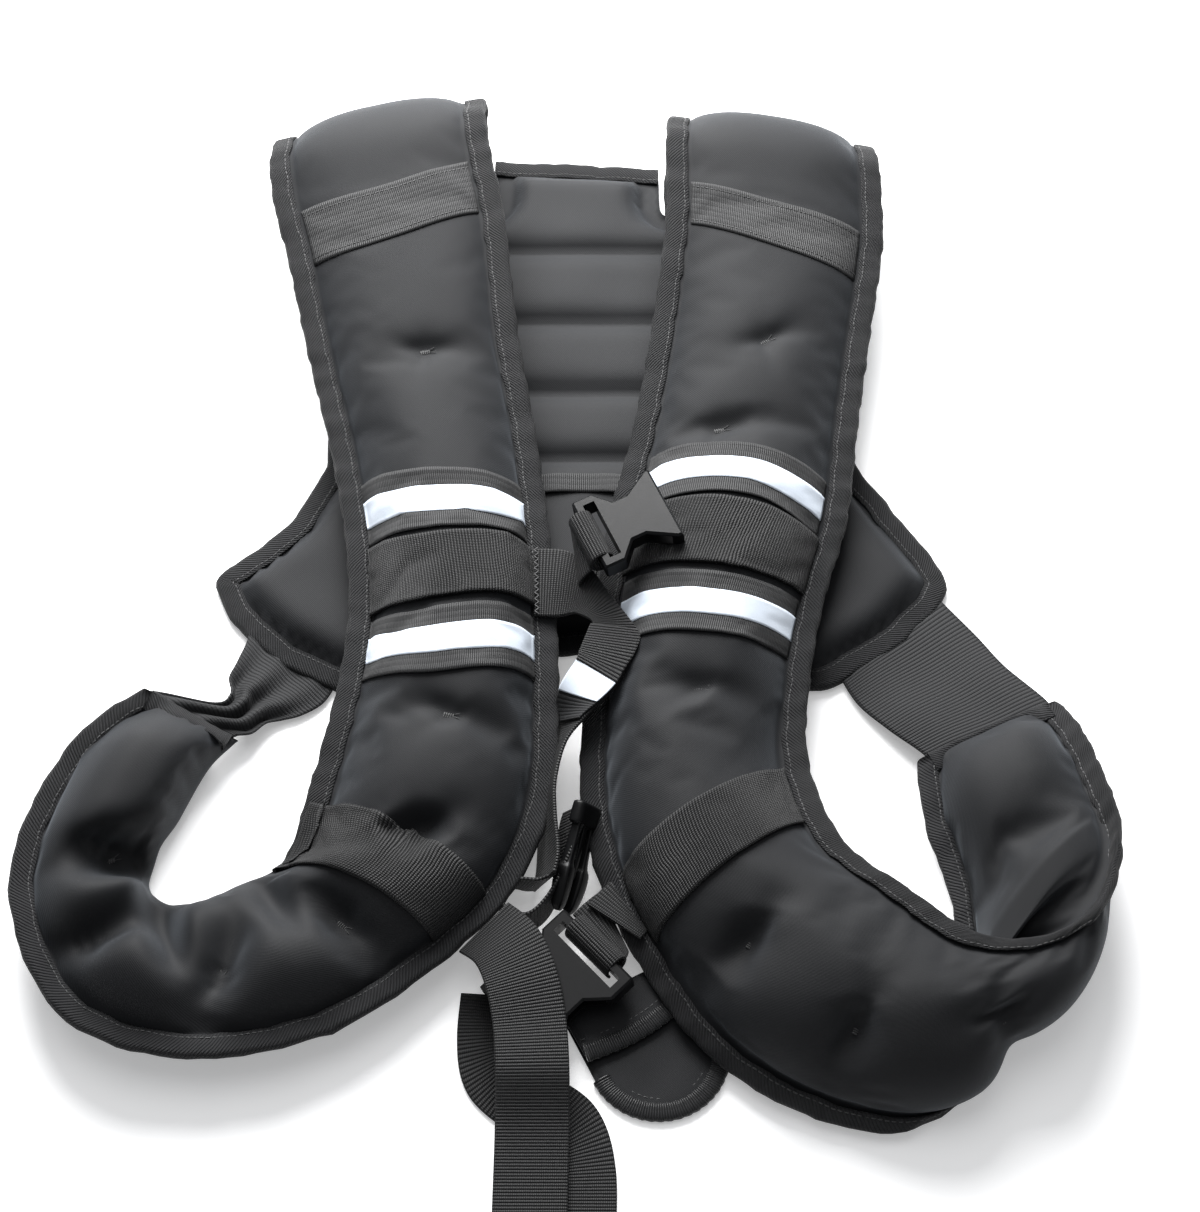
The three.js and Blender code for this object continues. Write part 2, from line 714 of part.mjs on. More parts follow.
// Binding round a flat flange: its wall stands clear of the flange's faces and edge
function plateBinding(points, low, high, width, thickness) {
  const outer = plate(points, low - GAP - thickness, high + GAP + thickness, GAP + thickness);
  const inner = plate(points, low - GAP, high + GAP, GAP);
  const middle = plate(points, -FAR, FAR, -width);
  return outer.subtract(inner).subtract(middle);
}
const backBinding = plateBinding(
  backOutline,
  flangeLow,
  flangeHigh,
  BINDING_WIDTH,
  BINDING_THICKNESS,
);
const shoulderLine = BACK_LEFT[1].y * VEST_LENGTH - BINDING_WIDTH - 2 * GAP;
const neckLeft = BACK_LEFT[0].x * VEST_WIDTH + BINDING_WIDTH;
const neckRight = BACK_RIGHT[0].x * VEST_WIDTH - BINDING_WIDTH;
addPiece(
  "back_binding",
  "twill",
  shape(backBinding.intersect(box(-FAR, FAR, -FAR, shoulderLine, -FAR, FAR))),
);
addPiece(
  "neck_binding",
  "twill",
  shape(backBinding.intersect(box(neckLeft, neckRight, shoulderLine + GAP, FAR, -FAR, FAR))),
);

// Pocket on the back panel, with a ribbon folded over its mouth
const pocketMiddle = place(POCKET_AT);
const [pocketLeft, pocketRight] = [-1, 1].map((k) => pocketMiddle.x + (k * POCKET_WIDTH) / 2);
const pocketTop = pocketMiddle.y;
const mouthCurve = (drop) =>
  new THREE.QuadraticBezierCurve(
    new THREE.Vector2(pocketRight, pocketTop - POCKET_MOUTH_RISE - drop),
    new THREE.Vector2(pocketMiddle.x, pocketTop + POCKET_MOUTH_RISE - drop),
    new THREE.Vector2(pocketLeft, pocketTop - POCKET_MOUTH_RISE - drop),
  ).getPoints(6);
const pocketBottom = pocketTop - POCKET_LENGTH;
const pocketLow = BACK_PAD + GAP;
const pocketHigh = pocketLow + POCKET_THICKNESS;
addPiece(
  "back_pocket",
  "neoprene",
  shape(
    plate(
      [
        new THREE.Vector2(pocketLeft, pocketBottom),
        new THREE.Vector2(pocketRight, pocketBottom),
        ...mouthCurve(0),
      ],
      pocketLow,
      pocketHigh,
    ),
  ),
);
addPiece(
  "pocket_ribbon",
  "grosgrain",
  shape(
    plate(
      [...mouthCurve(POCKET_RIBBON_WIDTH).reverse(), ...mouthCurve(0)],
      pocketHigh + GAP,
      pocketHigh + GAP + RIBBON_THICKNESS,
    ),
  ),
);

// A flat strap through rows of sections. x and y are the section's middle, as shares of VEST_LENGTH from
// the strap's anchor. z is its height above the floor as a share of PAD_DEPTH. turn and tilt give the
// direction of the strap's width in degrees, and wide is a share of that width.
const STRAP = ["x", "y", "z", "turn", "tilt", "wide"];
function strap(rows, anchor, width, thickness, perRow = 2) {
  const spot = (s) => {
    const row = rowAt(rows, s);
    const [x, y] = [row.x, row.y].map((share) => share * VEST_LENGTH);
    return new THREE.Vector3(x + anchor.x, y + anchor.y, thickness / 2 + row.z * PAD_DEPTH);
  };
  const last = rows.length - 1;
  const rings = steps(0, last, perRow * last).map((s) => {
    const row = rowAt(rows, s);
    const ahead = spot(Math.min(s + 0.05, last)).sub(spot(Math.max(s - 0.05, 0)));
    const across = direction(row.turn, row.tilt);
    const out = ahead.cross(across).normalize().multiplyScalar(thickness / 2);
    const half = across.multiplyScalar((row.wide * width) / 2);
    const middle = spot(s);
    return [
      middle.clone().add(half).add(out),
      middle.clone().sub(half).add(out),
      middle.clone().sub(half).sub(out),
      middle.clone().add(half).sub(out),
    ];
  });
  return loft(rings);
}

// A point just clear of a front panel's outer binding
function besideOuter(panel, s) {
  const { armhole, across, width } = sectionAt(panel, s);
  const beyond = width + GAP + BINDING_THICKNESS + 2 * GAP;
  return armhole.clone().addScaledVector(across, beyond);
}

// Loose chest strap: from the left webbing it turns over, runs through its keeper and down on its edge
const chestAnchor = besideOuter(LEFT, CHEST_STATION.left);
const CHEST_STRAP = table(
  STRAP,
  [0, 0, 0.83, 94, 0, 1],
  [0.017, -0.006, 0.92, 103, -5, 0.95],
  [0.033, -0.029, 1.1, 135, -30, 0.75],
  [0.048, -0.055, 1.3, 158, -24, 0.72],
  [0.047, -0.074, 1.27, 150, -22, 0.7],
  [0.031, -0.103, 1.08, 136, -26, 0.74],
  [0.012, -0.145, 0.8, 115, -58, 0.76],
  [0.004, -0.19, 0.62, 98, -82, 0.76],
  [-0.005, -0.228, 0.6, 96, -86, 0.76],
  [-0.009, -0.264, 0.6, 96, -84, 0.76],
);
addPiece(
  "chest_strap",
  "webbing",
  strap(CHEST_STRAP, chestAnchor, WEBBING_WIDTH, WEBBING_THICKNESS),
);

// A sleeve round a strap between two of its rows: its clear space inside leaves the gap
function sleeve(rows, anchor, from, to, width, thickness, wall, clear) {
  const part = steps(from, to, 2).map((s) => rowAt(rows, s));
  const grow = (more) => strap(part, anchor, width + 2 * more, thickness + 2 * more, 1);
  const longer = [rowAt(rows, from - 0.3), ...part, rowAt(rows, to + 0.3)];
  const hollow = strap(longer, anchor, width + 2 * clear, thickness + 2 * clear, 1);
  return { outer: solid(grow(clear + wall)), hollow: solid(hollow) };
}
const KEEPER_FROM = 4.5;
const KEEPER_TO = 5.5;
const keeper = sleeve(
  CHEST_STRAP,
  chestAnchor,
  KEEPER_FROM,
  KEEPER_TO,
  WEBBING_WIDTH,
  WEBBING_THICKNESS,
  ELASTIC_THICKNESS,
  2 * GAP,
);
addPiece("strap_keeper", "elastic", shape(keeper.outer.subtract(keeper.hollow)));

// A basis that stands a buckle up: its length runs along axis, its width along across
function standing(geometry, origin, axis, across) {
  const length = axis.clone().normalize();
  const depth = length.clone().cross(across).normalize();
  const width = depth.clone().cross(length);
  const basis = new THREE.Matrix4().makeBasis(length, width, depth);
  return geometry.applyMatrix4(basis.setPosition(origin));
}

// Female half: waisted body along +X, with its bar at x = 0 and its hollow mouth at x = length
function femaleBuckle(length, width) {
  const half = width / 2;
  const outline = [
    [0, -half + 1],
    [1, -half],
    [0.26 * length, -half],
    [0.44 * length, -half + BUCKLE_WAIST],
    [0.62 * length, -half + BUCKLE_WAIST],
    [0.94 * length, -half],
    [length, -half],
    [length, half],
    [0.94 * length, half],
    [0.62 * length, half - BUCKLE_WAIST],
    [0.44 * length, half - BUCKLE_WAIST],
    [0.26 * length, half],
    [1, half],
    [0, half - 1],
  ].map(([x, y]) => new THREE.Vector2(x, y));
  const low = -BUCKLE_DEPTH / 2;
  const body = bevelled(outline, low, -low, 0, BUCKLE_BEVEL);
  const mouth = box(
    BUCKLE_BAR + BUCKLE_SLOT + BUCKLE_BAR,
    length + 1,
    -half + BUCKLE_WALL,
    half - BUCKLE_WALL,
    low + BUCKLE_WALL,
    -low - BUCKLE_WALL,
  );
  const slot = box(
    BUCKLE_BAR,
    BUCKLE_BAR + BUCKLE_SLOT,
    -half + BUCKLE_BAR,
    half - BUCKLE_BAR,
    low - 1,
    -low + 1,
  );
  return shape(body.subtract(mouth).subtract(slot));
}

// Male half: base with its webbing slot from x = 0, then a guide stem and two sprung prongs
function maleBuckle(width) {
  const half = width / 2;
  const low = -PRONG_DEPTH / 2;
  const base = plate(
    [[0, -half], [MALE_BASE_LENGTH, -half], [MALE_BASE_LENGTH, half], [0, half]].map(
      ([x, y]) => new THREE.Vector2(x, y),
    ),
    low,
    -low,
  );
  const slot = box(
    BUCKLE_BAR,
    BUCKLE_BAR + BUCKLE_SLOT,
    -half + BUCKLE_BAR,
    half - BUCKLE_BAR,
    low - 1,
    -low + 1,
  );
  let body = base.subtract(slot);
  const foot = MALE_BASE_LENGTH - 1;
  const tip = MALE_BASE_LENGTH + PRONG_LENGTH;
  const pad = tip - PRONG_PAD_LENGTH;
  for (const side of [-1, 1]) {
    const inner = side * (half - PRONG_STEM - PRONG_MARGIN);
    const outer = side * (half - PRONG_MARGIN);
    const wide = side * (half - BUCKLE_WALL - GAP);
    const narrow = side * (half - BUCKLE_WALL - GAP - PRONG_PAD_WIDTH);
    const prong = [
      [foot, inner],
      [foot, outer],
      [pad, outer],
      [pad, wide],
      [tip - 8, wide],
      [tip, (wide + narrow) / 2],
      [tip - 2, narrow],
      [pad, narrow],
      [pad, inner],
    ].map(([x, y]) => new THREE.Vector2(x, y));
    body = body.add(bevelled(prong, low, -low, 0, BUCKLE_BEVEL));
  }
  const stem = box(foot, pad, -PRONG_STEM / 2, PRONG_STEM / 2, low + 1, -low - 1);
  return shape(body.add(stem));
}

// Open chest buckle: the female half is folded back over the right webbing, the male half stands on its
// edge beside the loose strap
const femaleAnchor = besideOuter(RIGHT, CHEST_STATION.right);
const CHEST_FEMALE_OFFSET = new THREE.Vector3(-5, 3, 28.5);
const chestFemaleAt = femaleAnchor.clone().add(CHEST_FEMALE_OFFSET);
const chestFemaleAxis = new THREE.Vector3(0.9, 0.4, 0.12);
const chestFemaleAcross = new THREE.Vector3(-0.4, 0.9, 0);
addPiece(
  "chest_female_buckle",
  "plastic",
  standing(
    femaleBuckle(CHEST_BUCKLE_LENGTH, CHEST_BUCKLE_WIDTH),
    chestFemaleAt,
    chestFemaleAxis,
    chestFemaleAcross,
  ),
);
const CHEST_MALE = { x: 0.0126, y: -0.1938, z: 1.06 };
const chestMaleAt = new THREE.Vector3(
  chestAnchor.x + CHEST_MALE.x * VEST_LENGTH,
  chestAnchor.y + CHEST_MALE.y * VEST_LENGTH,
  CHEST_MALE.z * PAD_DEPTH,
);
addPiece(
  "chest_male_buckle",
  "plastic",
  standing(
    maleBuckle(CHEST_BUCKLE_WIDTH - 2 * BUCKLE_WALL),
    chestMaleAt,
    new THREE.Vector3(-0.12, -0.95, -0.2),
    new THREE.Vector3(0, 0.2, -0.95),
  ),
);

// Webbing folded round the bar of the chest's female half
const CHEST_LOOP = table(
  STRAP,
  [0, 0, 0.8, 82, 0, 1],
  [-0.012, 0.002, 0.92, 88, 0, 1],
  [-0.019, 0.005, 1.2, 98, 0, 1],
  [-0.013, 0.007, 1.5, 106, 0, 1],
);
addPiece(
  "chest_buckle_loop",
  "webbing",
  strap(CHEST_LOOP, femaleAnchor, STRAP_WIDTH, WEBBING_THICKNESS),
);

// Waist strap, from the left panel's outer edge down over the female half to its male half
const waistAnchor = besideOuter(LEFT, WAIST_STATION.left);
const WAIST_STRAP = table(
  STRAP,
  [0, 0, 0.62, 48, 0, 1],
  [0.018, -0.018, 0.74, 34, 0, 1],
  [0.03, -0.045, 0.74, 18, 0, 1],
  [0.037, -0.077, 0.62, 6, 0, 1],
  [0.04, -0.115, 0.56, 1, 0, 1],
  [0.04, -0.158, 0.18, 0, 0, 1],
  [0.039, -0.236, 0.12, 0, 0, 1],
);
addPiece(
  "waist_strap",
  "webbing",
  strap(WAIST_STRAP, waistAnchor, STRAP_WIDTH, WEBBING_THICKNESS),
);
const WAIST_TAIL = table(
  STRAP,
  [0.076, -0.236, 0.02, 0, 0, 1],
  [0.076, -0.19, 0.02, 4, 0, 1],
  [0.066, -0.155, 0.02, 40, 0, 1],
  [0.036, -0.133, 0.02, 62, 0, 1],
  [0.012, -0.11, 0.02, 40, 0, 1],
  [0.008, -0.08, 0.02, 4, 0, 1],
  [0.01, -0.045, 0.03, -4, 0, 1],
);
addPiece(
  "waist_strap_tail",
  "webbing",
  strap(WAIST_TAIL, waistAnchor, STRAP_WIDTH, WEBBING_THICKNESS),
);

const backwards = new THREE.Vector3(0, -1, 0);
const strapEnd = new THREE.Vector3(
  waistAnchor.x + WAIST_STRAP.at(-1).x * VEST_LENGTH,
  waistAnchor.y + WAIST_STRAP.at(-1).y * VEST_LENGTH - GAP,
  PRONG_DEPTH / 2,
);
addPiece(
  "waist_male_buckle",
  "plastic",
  standing(
    maleBuckle(WAIST_BUCKLE_WIDTH - 2 * BUCKLE_WALL),
    strapEnd,
    backwards,
    new THREE.Vector3(1, 0, 0),
  ),
);

// Waist buckle's female half, tied to the right panel's outer edge by a loop of webbing
const plateAnchor = besideOuter(RIGHT, WAIST_STATION.right);
const WAIST_FEMALE_OFFSET = new THREE.Vector2(-9, -15);
const waistFemaleAt = new THREE.Vector3(
  plateAnchor.x + WAIST_FEMALE_OFFSET.x,
  plateAnchor.y + WAIST_FEMALE_OFFSET.y,
  0.62 * PAD_DEPTH,
);
addPiece(
  "waist_female_buckle",
  "plastic",
  standing(
    femaleBuckle(WAIST_BUCKLE_LENGTH, WAIST_BUCKLE_WIDTH),
    waistFemaleAt,
    new THREE.Vector3(-0.72, -0.66, -0.16),
    new THREE.Vector3(0.68, -0.73, 0),
  ),
);
const WAIST_LOOP = table(
  STRAP,
  [0, -0.001, 0.5, -66, 0, 1],
  [-0.007, -0.01, 0.56, -53, 0, 1],
  [-0.013, -0.018, 0.6, -47, 0, 1],
);
addPiece(
  "waist_buckle_loop",
  "webbing",
  strap(WAIST_LOOP, plateAnchor, STRAP_WIDTH, WEBBING_THICKNESS),
);

// Overlocked pad under the female half: a long outline with one round end, a flap over it, and a rim on
// the round end and on the flap's slanted edge
const REST_PAD_TURN = -63;
const REST_PAD_OFFSET = new THREE.Vector2(2, -26);
const restAxis = THREE.MathUtils.degToRad(REST_PAD_TURN);
const restAt = REST_PAD_OFFSET.clone().add(plateAnchor);
function restPoint(along, beside) {
  const [c, s] = [Math.cos(restAxis), Math.sin(restAxis)];
  return new THREE.Vector2(
    restAt.x + along * c - beside * s,
    restAt.y + along * s + beside * c,
  );
}
const roundEnd = steps(-90, 90, 10).map((degrees) => {
  const angle = THREE.MathUtils.degToRad(degrees);
  return restPoint(
    REST_PAD_LENGTH + REST_PAD_RADIUS * Math.cos(angle),
    REST_PAD_RADIUS * Math.sin(angle),
  );
});
const restOutline = [
  restPoint(0, -REST_PAD_RADIUS),
  ...roundEnd,
  restPoint(0, REST_PAD_RADIUS),
];
const restLow = RIM_THICKNESS + GAP;
const restHigh = restLow + REST_PAD_THICKNESS;
const flapLow = restHigh + 2 * GAP + RIM_THICKNESS;
const flapHigh = flapLow + REST_PAD_THICKNESS;
const flapOutline = [
  restPoint(0, -REST_PAD_RADIUS),
  restPoint(REST_FLAP_LENGTH + RIM_WIDTH / 2, -REST_PAD_RADIUS),
  restPoint(REST_FLAP_LENGTH, -REST_PAD_RADIUS / 2),
  restPoint(REST_FLAP_LENGTH - RIM_WIDTH / 2, REST_PAD_RADIUS / 4),
  restPoint(REST_FLAP_LENGTH - RIM_WIDTH / 2, REST_PAD_RADIUS),
  restPoint(0, REST_PAD_RADIUS),
];
const roundZone = plate(
  [
    restPoint(REST_PAD_LENGTH - RIM_WIDTH / 2, -2 * REST_PAD_RADIUS),
    restPoint(3 * REST_PAD_LENGTH, -2 * REST_PAD_RADIUS),
    restPoint(3 * REST_PAD_LENGTH, 2 * REST_PAD_RADIUS),
    restPoint(REST_PAD_LENGTH - RIM_WIDTH / 2, 2 * REST_PAD_RADIUS),
  ],
  -FAR,
  FAR,
);
const flapZone = plate(
  [
    restPoint(REST_FLAP_LENGTH / 2, -REST_PAD_RADIUS + RIM_WIDTH),
    restPoint(2 * REST_FLAP_LENGTH, -REST_PAD_RADIUS + RIM_WIDTH),
    restPoint(2 * REST_FLAP_LENGTH, REST_PAD_RADIUS - RIM_WIDTH),
    restPoint(REST_FLAP_LENGTH / 2, REST_PAD_RADIUS - RIM_WIDTH),
  ],
  -FAR,
  FAR,
);
// Room that the right front panel and its bindings take up, with a gap round it
function roomRing(panel, s) {
  const { armhole, across, width, normal } = sectionAt(panel, s);
  const far = BINDING_THICKNESS + 2 * GAP;
  const thin = FLANGE / 2 + far;
  const outline = [
    [-far, thin],
    [width / 2, PAD_DEPTH],
    [width + far, thin],
    [width + far, -thin],
    [width / 2, -PAD_DEPTH],
    [-far, -thin],
  ];
  return outline.map(([reach, height]) =>
    armhole.clone().addScaledVector(across, reach).addScaledVector(normal, height),
  );
}
const rightRoom = solid(
  loft(ringStations(RIGHT, 14, 20).map((s) => roomRing(RIGHT, s))),
);
addPiece(
  "buckle_pad",
  "neoprene",
  shape(plate(restOutline, restLow, restHigh).subtract(rightRoom)),
);
addPiece(
  "pad_rim",
  "twill",
  shape(
    plateBinding(restOutline, restLow, restHigh, RIM_WIDTH, RIM_THICKNESS)
      .intersect(roundZone)
      .subtract(rightRoom),
  ),
);
addPiece(
  "pad_flap",
  "neoprene",
  shape(plate(flapOutline, flapLow, flapHigh).subtract(rightRoom)),
);
addPiece(
  "flap_rim",
  "twill",
  shape(
    plateBinding(flapOutline, flapLow, flapHigh, RIM_WIDTH, RIM_THICKNESS)
      .intersect(flapZone)
      .subtract(rightRoom),
  ),
);

// Elastic from a wing's lower edge to the end of the front panel's hook
function elastic(panel, wingNear, wingFar) {
  const end = sectionAt(panel, panel.last);
  const beyond = middleAt(panel.rows, panel.last)
    .sub(middleAt(panel.rows, panel.last - 0.1))
    .normalize()
    .multiplyScalar(2 * GAP);
  const reaches = [FLANGE_WIDTH, end.width - FLANGE_WIDTH];
  const ends = (panel.flip > 0 ? reaches : reaches.reverse()).map((reach) =>
    end.armhole.clone().addScaledVector(end.across, reach).add(beyond),
  );
  const middle = wingNear.clone().add(wingFar).divideScalar(2);
  const out = ends[0].clone().add(ends[1]).divideScalar(2).sub(middle);
  const edge = wingFar.clone().sub(wingNear).normalize();
  const away = new THREE.Vector3(-edge.y, edge.x, 0);
  away.multiplyScalar(Math.sign(away.dot(out)));
  const start = middle.clone().addScaledVector(away, 2 * GAP + BINDING_THICKNESS);
  const half = edge.clone().multiplyScalar(ELASTIC_WIDTH / 2);
  const rings = steps(0, 1, 4).map((t) => {
    const a = start.clone().sub(half).lerp(ends[0], t);
    const b = start.clone().add(half).lerp(ends[1], t);
    const up = new THREE.Vector3(0, 0, ELASTIC_THICKNESS);
    return [a, b, b.clone().add(up), a.clone().add(up)];
  });
  return loft(rings);
}
const onWing = (p) => new THREE.Vector3(p.x * VEST_WIDTH, p.y * VEST_LENGTH, flangeLow);
addPiece("left_elastic", "elastic", elastic(LEFT, onWing(BACK_LEFT[9]), onWing(BACK_LEFT[8])));
addPiece("right_elastic", "elastic", elastic(RIGHT, onWing(BACK_RIGHT[9]), onWing(BACK_RIGHT[8])));

root.updateMatrixWorld(true);
const extent = new THREE.Box3().setFromObject(root);
const centre = extent.getCenter(new THREE.Vector3());
root.position.set(-centre.x, -centre.y, -extent.min.z);

export default root;
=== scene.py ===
"""A weighted vest that lies open on its back panel: its soft pieces, trims, straps and buckles."""
import json
import math
from types import SimpleNamespace

import bpy
import numpy as np
from bpy.props import FloatProperty, FloatVectorProperty, PointerProperty
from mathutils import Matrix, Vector
from mathutils.geometry import delaunay_2d_cdt

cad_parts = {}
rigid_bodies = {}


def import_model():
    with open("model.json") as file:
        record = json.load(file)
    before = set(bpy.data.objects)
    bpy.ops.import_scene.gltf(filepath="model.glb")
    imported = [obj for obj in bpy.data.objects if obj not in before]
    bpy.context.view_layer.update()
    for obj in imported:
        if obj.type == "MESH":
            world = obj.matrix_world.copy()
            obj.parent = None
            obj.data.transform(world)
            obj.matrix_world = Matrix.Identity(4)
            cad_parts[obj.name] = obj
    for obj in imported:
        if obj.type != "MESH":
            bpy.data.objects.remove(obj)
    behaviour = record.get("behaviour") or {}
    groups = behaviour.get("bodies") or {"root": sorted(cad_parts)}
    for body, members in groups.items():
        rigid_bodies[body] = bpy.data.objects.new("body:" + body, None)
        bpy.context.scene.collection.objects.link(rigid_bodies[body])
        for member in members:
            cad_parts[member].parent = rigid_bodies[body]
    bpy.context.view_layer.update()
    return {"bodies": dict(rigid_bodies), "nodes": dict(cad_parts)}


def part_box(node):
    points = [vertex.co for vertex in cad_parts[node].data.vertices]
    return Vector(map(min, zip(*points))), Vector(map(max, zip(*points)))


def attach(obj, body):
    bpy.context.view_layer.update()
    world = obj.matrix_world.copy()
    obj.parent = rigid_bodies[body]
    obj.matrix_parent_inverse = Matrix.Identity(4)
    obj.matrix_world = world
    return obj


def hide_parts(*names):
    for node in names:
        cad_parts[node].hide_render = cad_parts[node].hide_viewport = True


bl_info = {
    "name": "Weighted Vest",
    "version": (1, 0, 0),
    "blender": (4, 5, 0),
    "location": "View3D > Sidebar > Vest",
    "description": "Builds a padded weighted vest that lies open on its back panel",
    "category": "Add Mesh",
}

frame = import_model()
BODY = next(iter(frame["bodies"]))
MM = 0.001

# The outline that the tables' shares of place refer to, in millimetres
VEST_WIDTH = 580
VEST_LENGTH = 660
PANEL_WIDTH = 130
PAD_DEPTH = 36
BACK_PAD = 16
FLANGE = 3
GAP = 0.4
RIBBON_THICKNESS = 0.8
POCKET_THICKNESS = 2.6
POCKET_WIDTH = 112
POCKET_LENGTH = 96
POCKET_MOUTH_RISE = 8
POCKET_RIBBON_WIDTH = 13
BACK_REST = BACK_PAD + POCKET_THICKNESS + 2 * GAP + RIBBON_THICKNESS
POCKET_AT = (-0.019, 0.122)

# The tables' origin in the frame, found from the pocket, whose place both share
pocket_low, pocket_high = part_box("back_pocket")
ORIGIN = np.array(
    [
        (pocket_low.x + pocket_high.x) / 2 / MM - POCKET_AT[0] * VEST_WIDTH,
        pocket_low.y / MM - POCKET_AT[1] * VEST_LENGTH + POCKET_LENGTH,
        0.0,
    ]
)

# Sections of the filled panels from the shoulder's fold to the end of the hook: x and y as shares of the
# vest's width and length, height over the back panel and in pad depths, width in panel widths, turn and
# tilt from the armhole edge to the outer edge, and the padding in front and behind in pad depths.
LEFT_SECTIONS = (
    (-0.236, 0.447, 0, 0.22, 1.0, 0, 0, 0.17, 0.17),
    (-0.236, 0.478, 0, 0.25, 1.0, 5, 0, 0.2, 0.17),
    (-0.237, 0.497, 0, 0.55, 1.0, 11, 0, 0.28, 0.2),
    (-0.239, 0.506, 0, 1.02, 1.03, 14, 0, 0.3, 0.2),
    (-0.239, 0.499, 0.5, 1.15, 1.03, 14, 2, 0.3, 0.2),
    (-0.239, 0.48, 0.8, 1.24, 1.03, 13, 3, 0.28, 0.2),
    (-0.239, 0.451, 1, 1.26, 1.04, 12, 4, 0.25, 0.2),
    (-0.23, 0.405, 1, 1.14, 1.04, 13, 4, 0.25, 0.22),
    (-0.215, 0.351, 1, 0.98, 1.02, 14, 4, 0.3, 0.25),
    (-0.193, 0.239, 1, 0.64, 0.95, 9, 3, 0.5, 0.4),
    (-0.17, 0.142, 1, 0.42, 0.91, 6, 1, 0.62, 0.4),
    (-0.153, 0.05, 1, 0.3, 0.89, 0, 0, 0.7, 0.3),
    (-0.144, -0.036, 1, 0.25, 0.89, -3, 0, 0.75, 0.25),
    (-0.146, -0.113, 0.85, 0.3, 0.93, -3, 0, 0.8, 0.3),
    (-0.158, -0.204, 0.2, 0.56, 1.0, -4, 0, 0.8, 0.6),
    (-0.186, -0.276, 0, 0.56, 0.95, -9, 2, 0.82, 0.6),
    (-0.239, -0.316, 0, 0.48, 0.92, -24, 5, 0.85, 0.6),
    (-0.303, -0.352, 0, 0.46, 0.87, -43, 9, 0.88, 0.6),
    (-0.375, -0.363, 0, 0.48, 0.8, -69, 12, 0.88, 0.6),
    (-0.442, -0.341, 0, 0.5, 0.75, -106, 15, 0.88, 0.6),
    (-0.472, -0.28, 0, 0.53, 0.67, -145, 17, 0.88, 0.6),
    (-0.463, -0.226, 0, 0.56, 0.63, -171, 17, 0.88, 0.6),
    (-0.431, -0.163, 0, 0.59, 0.56, -187, 17, 0.75, 0.6),
    (-0.391, -0.129, 0, 0.6, 0.45, -204, 18, 0.2, 0.2),
)
RIGHT_SECTIONS = (
    (0.186, 0.443, 0, 0.22, 1.0, 180, 0, 0.17, 0.17),
    (0.186, 0.47, 0, 0.25, 1.0, 177, 0, 0.2, 0.17),
    (0.187, 0.486, 0, 0.55, 1.0, 172, 0, 0.28, 0.2),
    (0.187, 0.491, 0, 1.0, 1.0, 170, 0, 0.3, 0.2),
    (0.187, 0.485, 0.5, 1.12, 1.0, 170, 2, 0.3, 0.2),
    (0.186, 0.468, 0.8, 1.2, 1.0, 171, 4, 0.28, 0.2),
    (0.186, 0.442, 1, 1.22, 1.02, 172, 5, 0.25, 0.2),
    (0.186, 0.4, 1, 1.1, 1.02, 173, 5, 0.25, 0.22),
    (0.184, 0.352, 1, 0.95, 1.01, 174, 4, 0.3, 0.25),
    (0.167, 0.252, 1, 0.64, 0.99, 177, 1, 0.5, 0.4),
    (0.148, 0.152, 1, 0.45, 1.0, 180, 0, 0.55, 0.4),
    (0.128, 0.059, 1, 0.33, 1.04, 180, 0, 0.68, 0.3),
    (0.107, -0.033, 1, 0.28, 0.99, 186, 0, 0.75, 0.25),
    (0.093, -0.114, 0.85, 0.31, 0.96, 188, -1, 0.8, 0.3),
    (0.089, -0.193, 0.2, 0.6, 0.95, 190, -3, 0.8, 0.6),
    (0.11, -0.268, 0, 0.78, 0.99, 187, -9, 0.75, 0.6),
    (0.155, -0.326, 0, 0.83, 1.12, 190, -13, 0.72, 0.6),
    (0.215, -0.385, 0, 0.86, 1.18, 198, -16, 0.7, 0.6),
    (0.29, -0.411, 0, 0.88, 1.19, 212, -18, 0.68, 0.6),
    (0.358, -0.401, 0, 0.85, 1.19, 226, -18, 0.62, 0.6),
    (0.4, -0.346, 0, 0.77, 1.12, 233, -17, 0.55, 0.6),
    (0.396, -0.246, 0, 0.64, 0.87, 224, -16, 0.5, 0.65),
    (0.38, -0.184, 0, 0.53, 0.78, 214, -10, 0.45, 0.6),
    (0.371, -0.14, 0, 0.44, 0.65, 203, -5, 0.2, 0.2),
)

# Broad hollows round the tacks: x, y, depth as a share of the padding, length and breadth in panel
# widths, and the hollow's direction. Rows after the first TACKS are creases without a tack.
TACKS = 7
LEFT_DENTS = (
    (-0.179, 0.217, 0.4, 0.22, 0.12, 10),
    (-0.141, -0.155, 0.45, 0.35, 0.12, -14),
    (-0.167, -0.253, 0.5, 0.16, 0.13, 20),
    (-0.233, -0.327, 0.55, 0.3, 0.12, -40),
    (-0.338, -0.374, 0.6, 0.35, 0.13, 75),
    (-0.459, -0.345, 0.6, 0.4, 0.11, 30),
    (-0.453, -0.265, 0.6, 0.35, 0.1, 20),
    (-0.396, -0.33, 0.85, 0.3, 0.08, -70),
    (-0.43, -0.27, 0.8, 0.2, 0.08, 25),
    (-0.3, -0.3, 0.6, 0.25, 0.08, -60),
)
RIGHT_DENTS = (
    (0.169, 0.226, 0.4, 0.3, 0.12, 30),
    (0.12, 0.135, 0.35, 0.6, 0.14, 10),
    (0.093, -0.13, 0.45, 0.16, 0.13, 0),
    (0.134, -0.35, 0.5, 0.16, 0.13, 50),
    (0.224, -0.421, 0.5, 0.16, 0.13, 60),
    (0.352, -0.417, 0.5, 0.16, 0.13, 30),
    (0.416, -0.248, 0.5, 0.35, 0.12, 45),
)

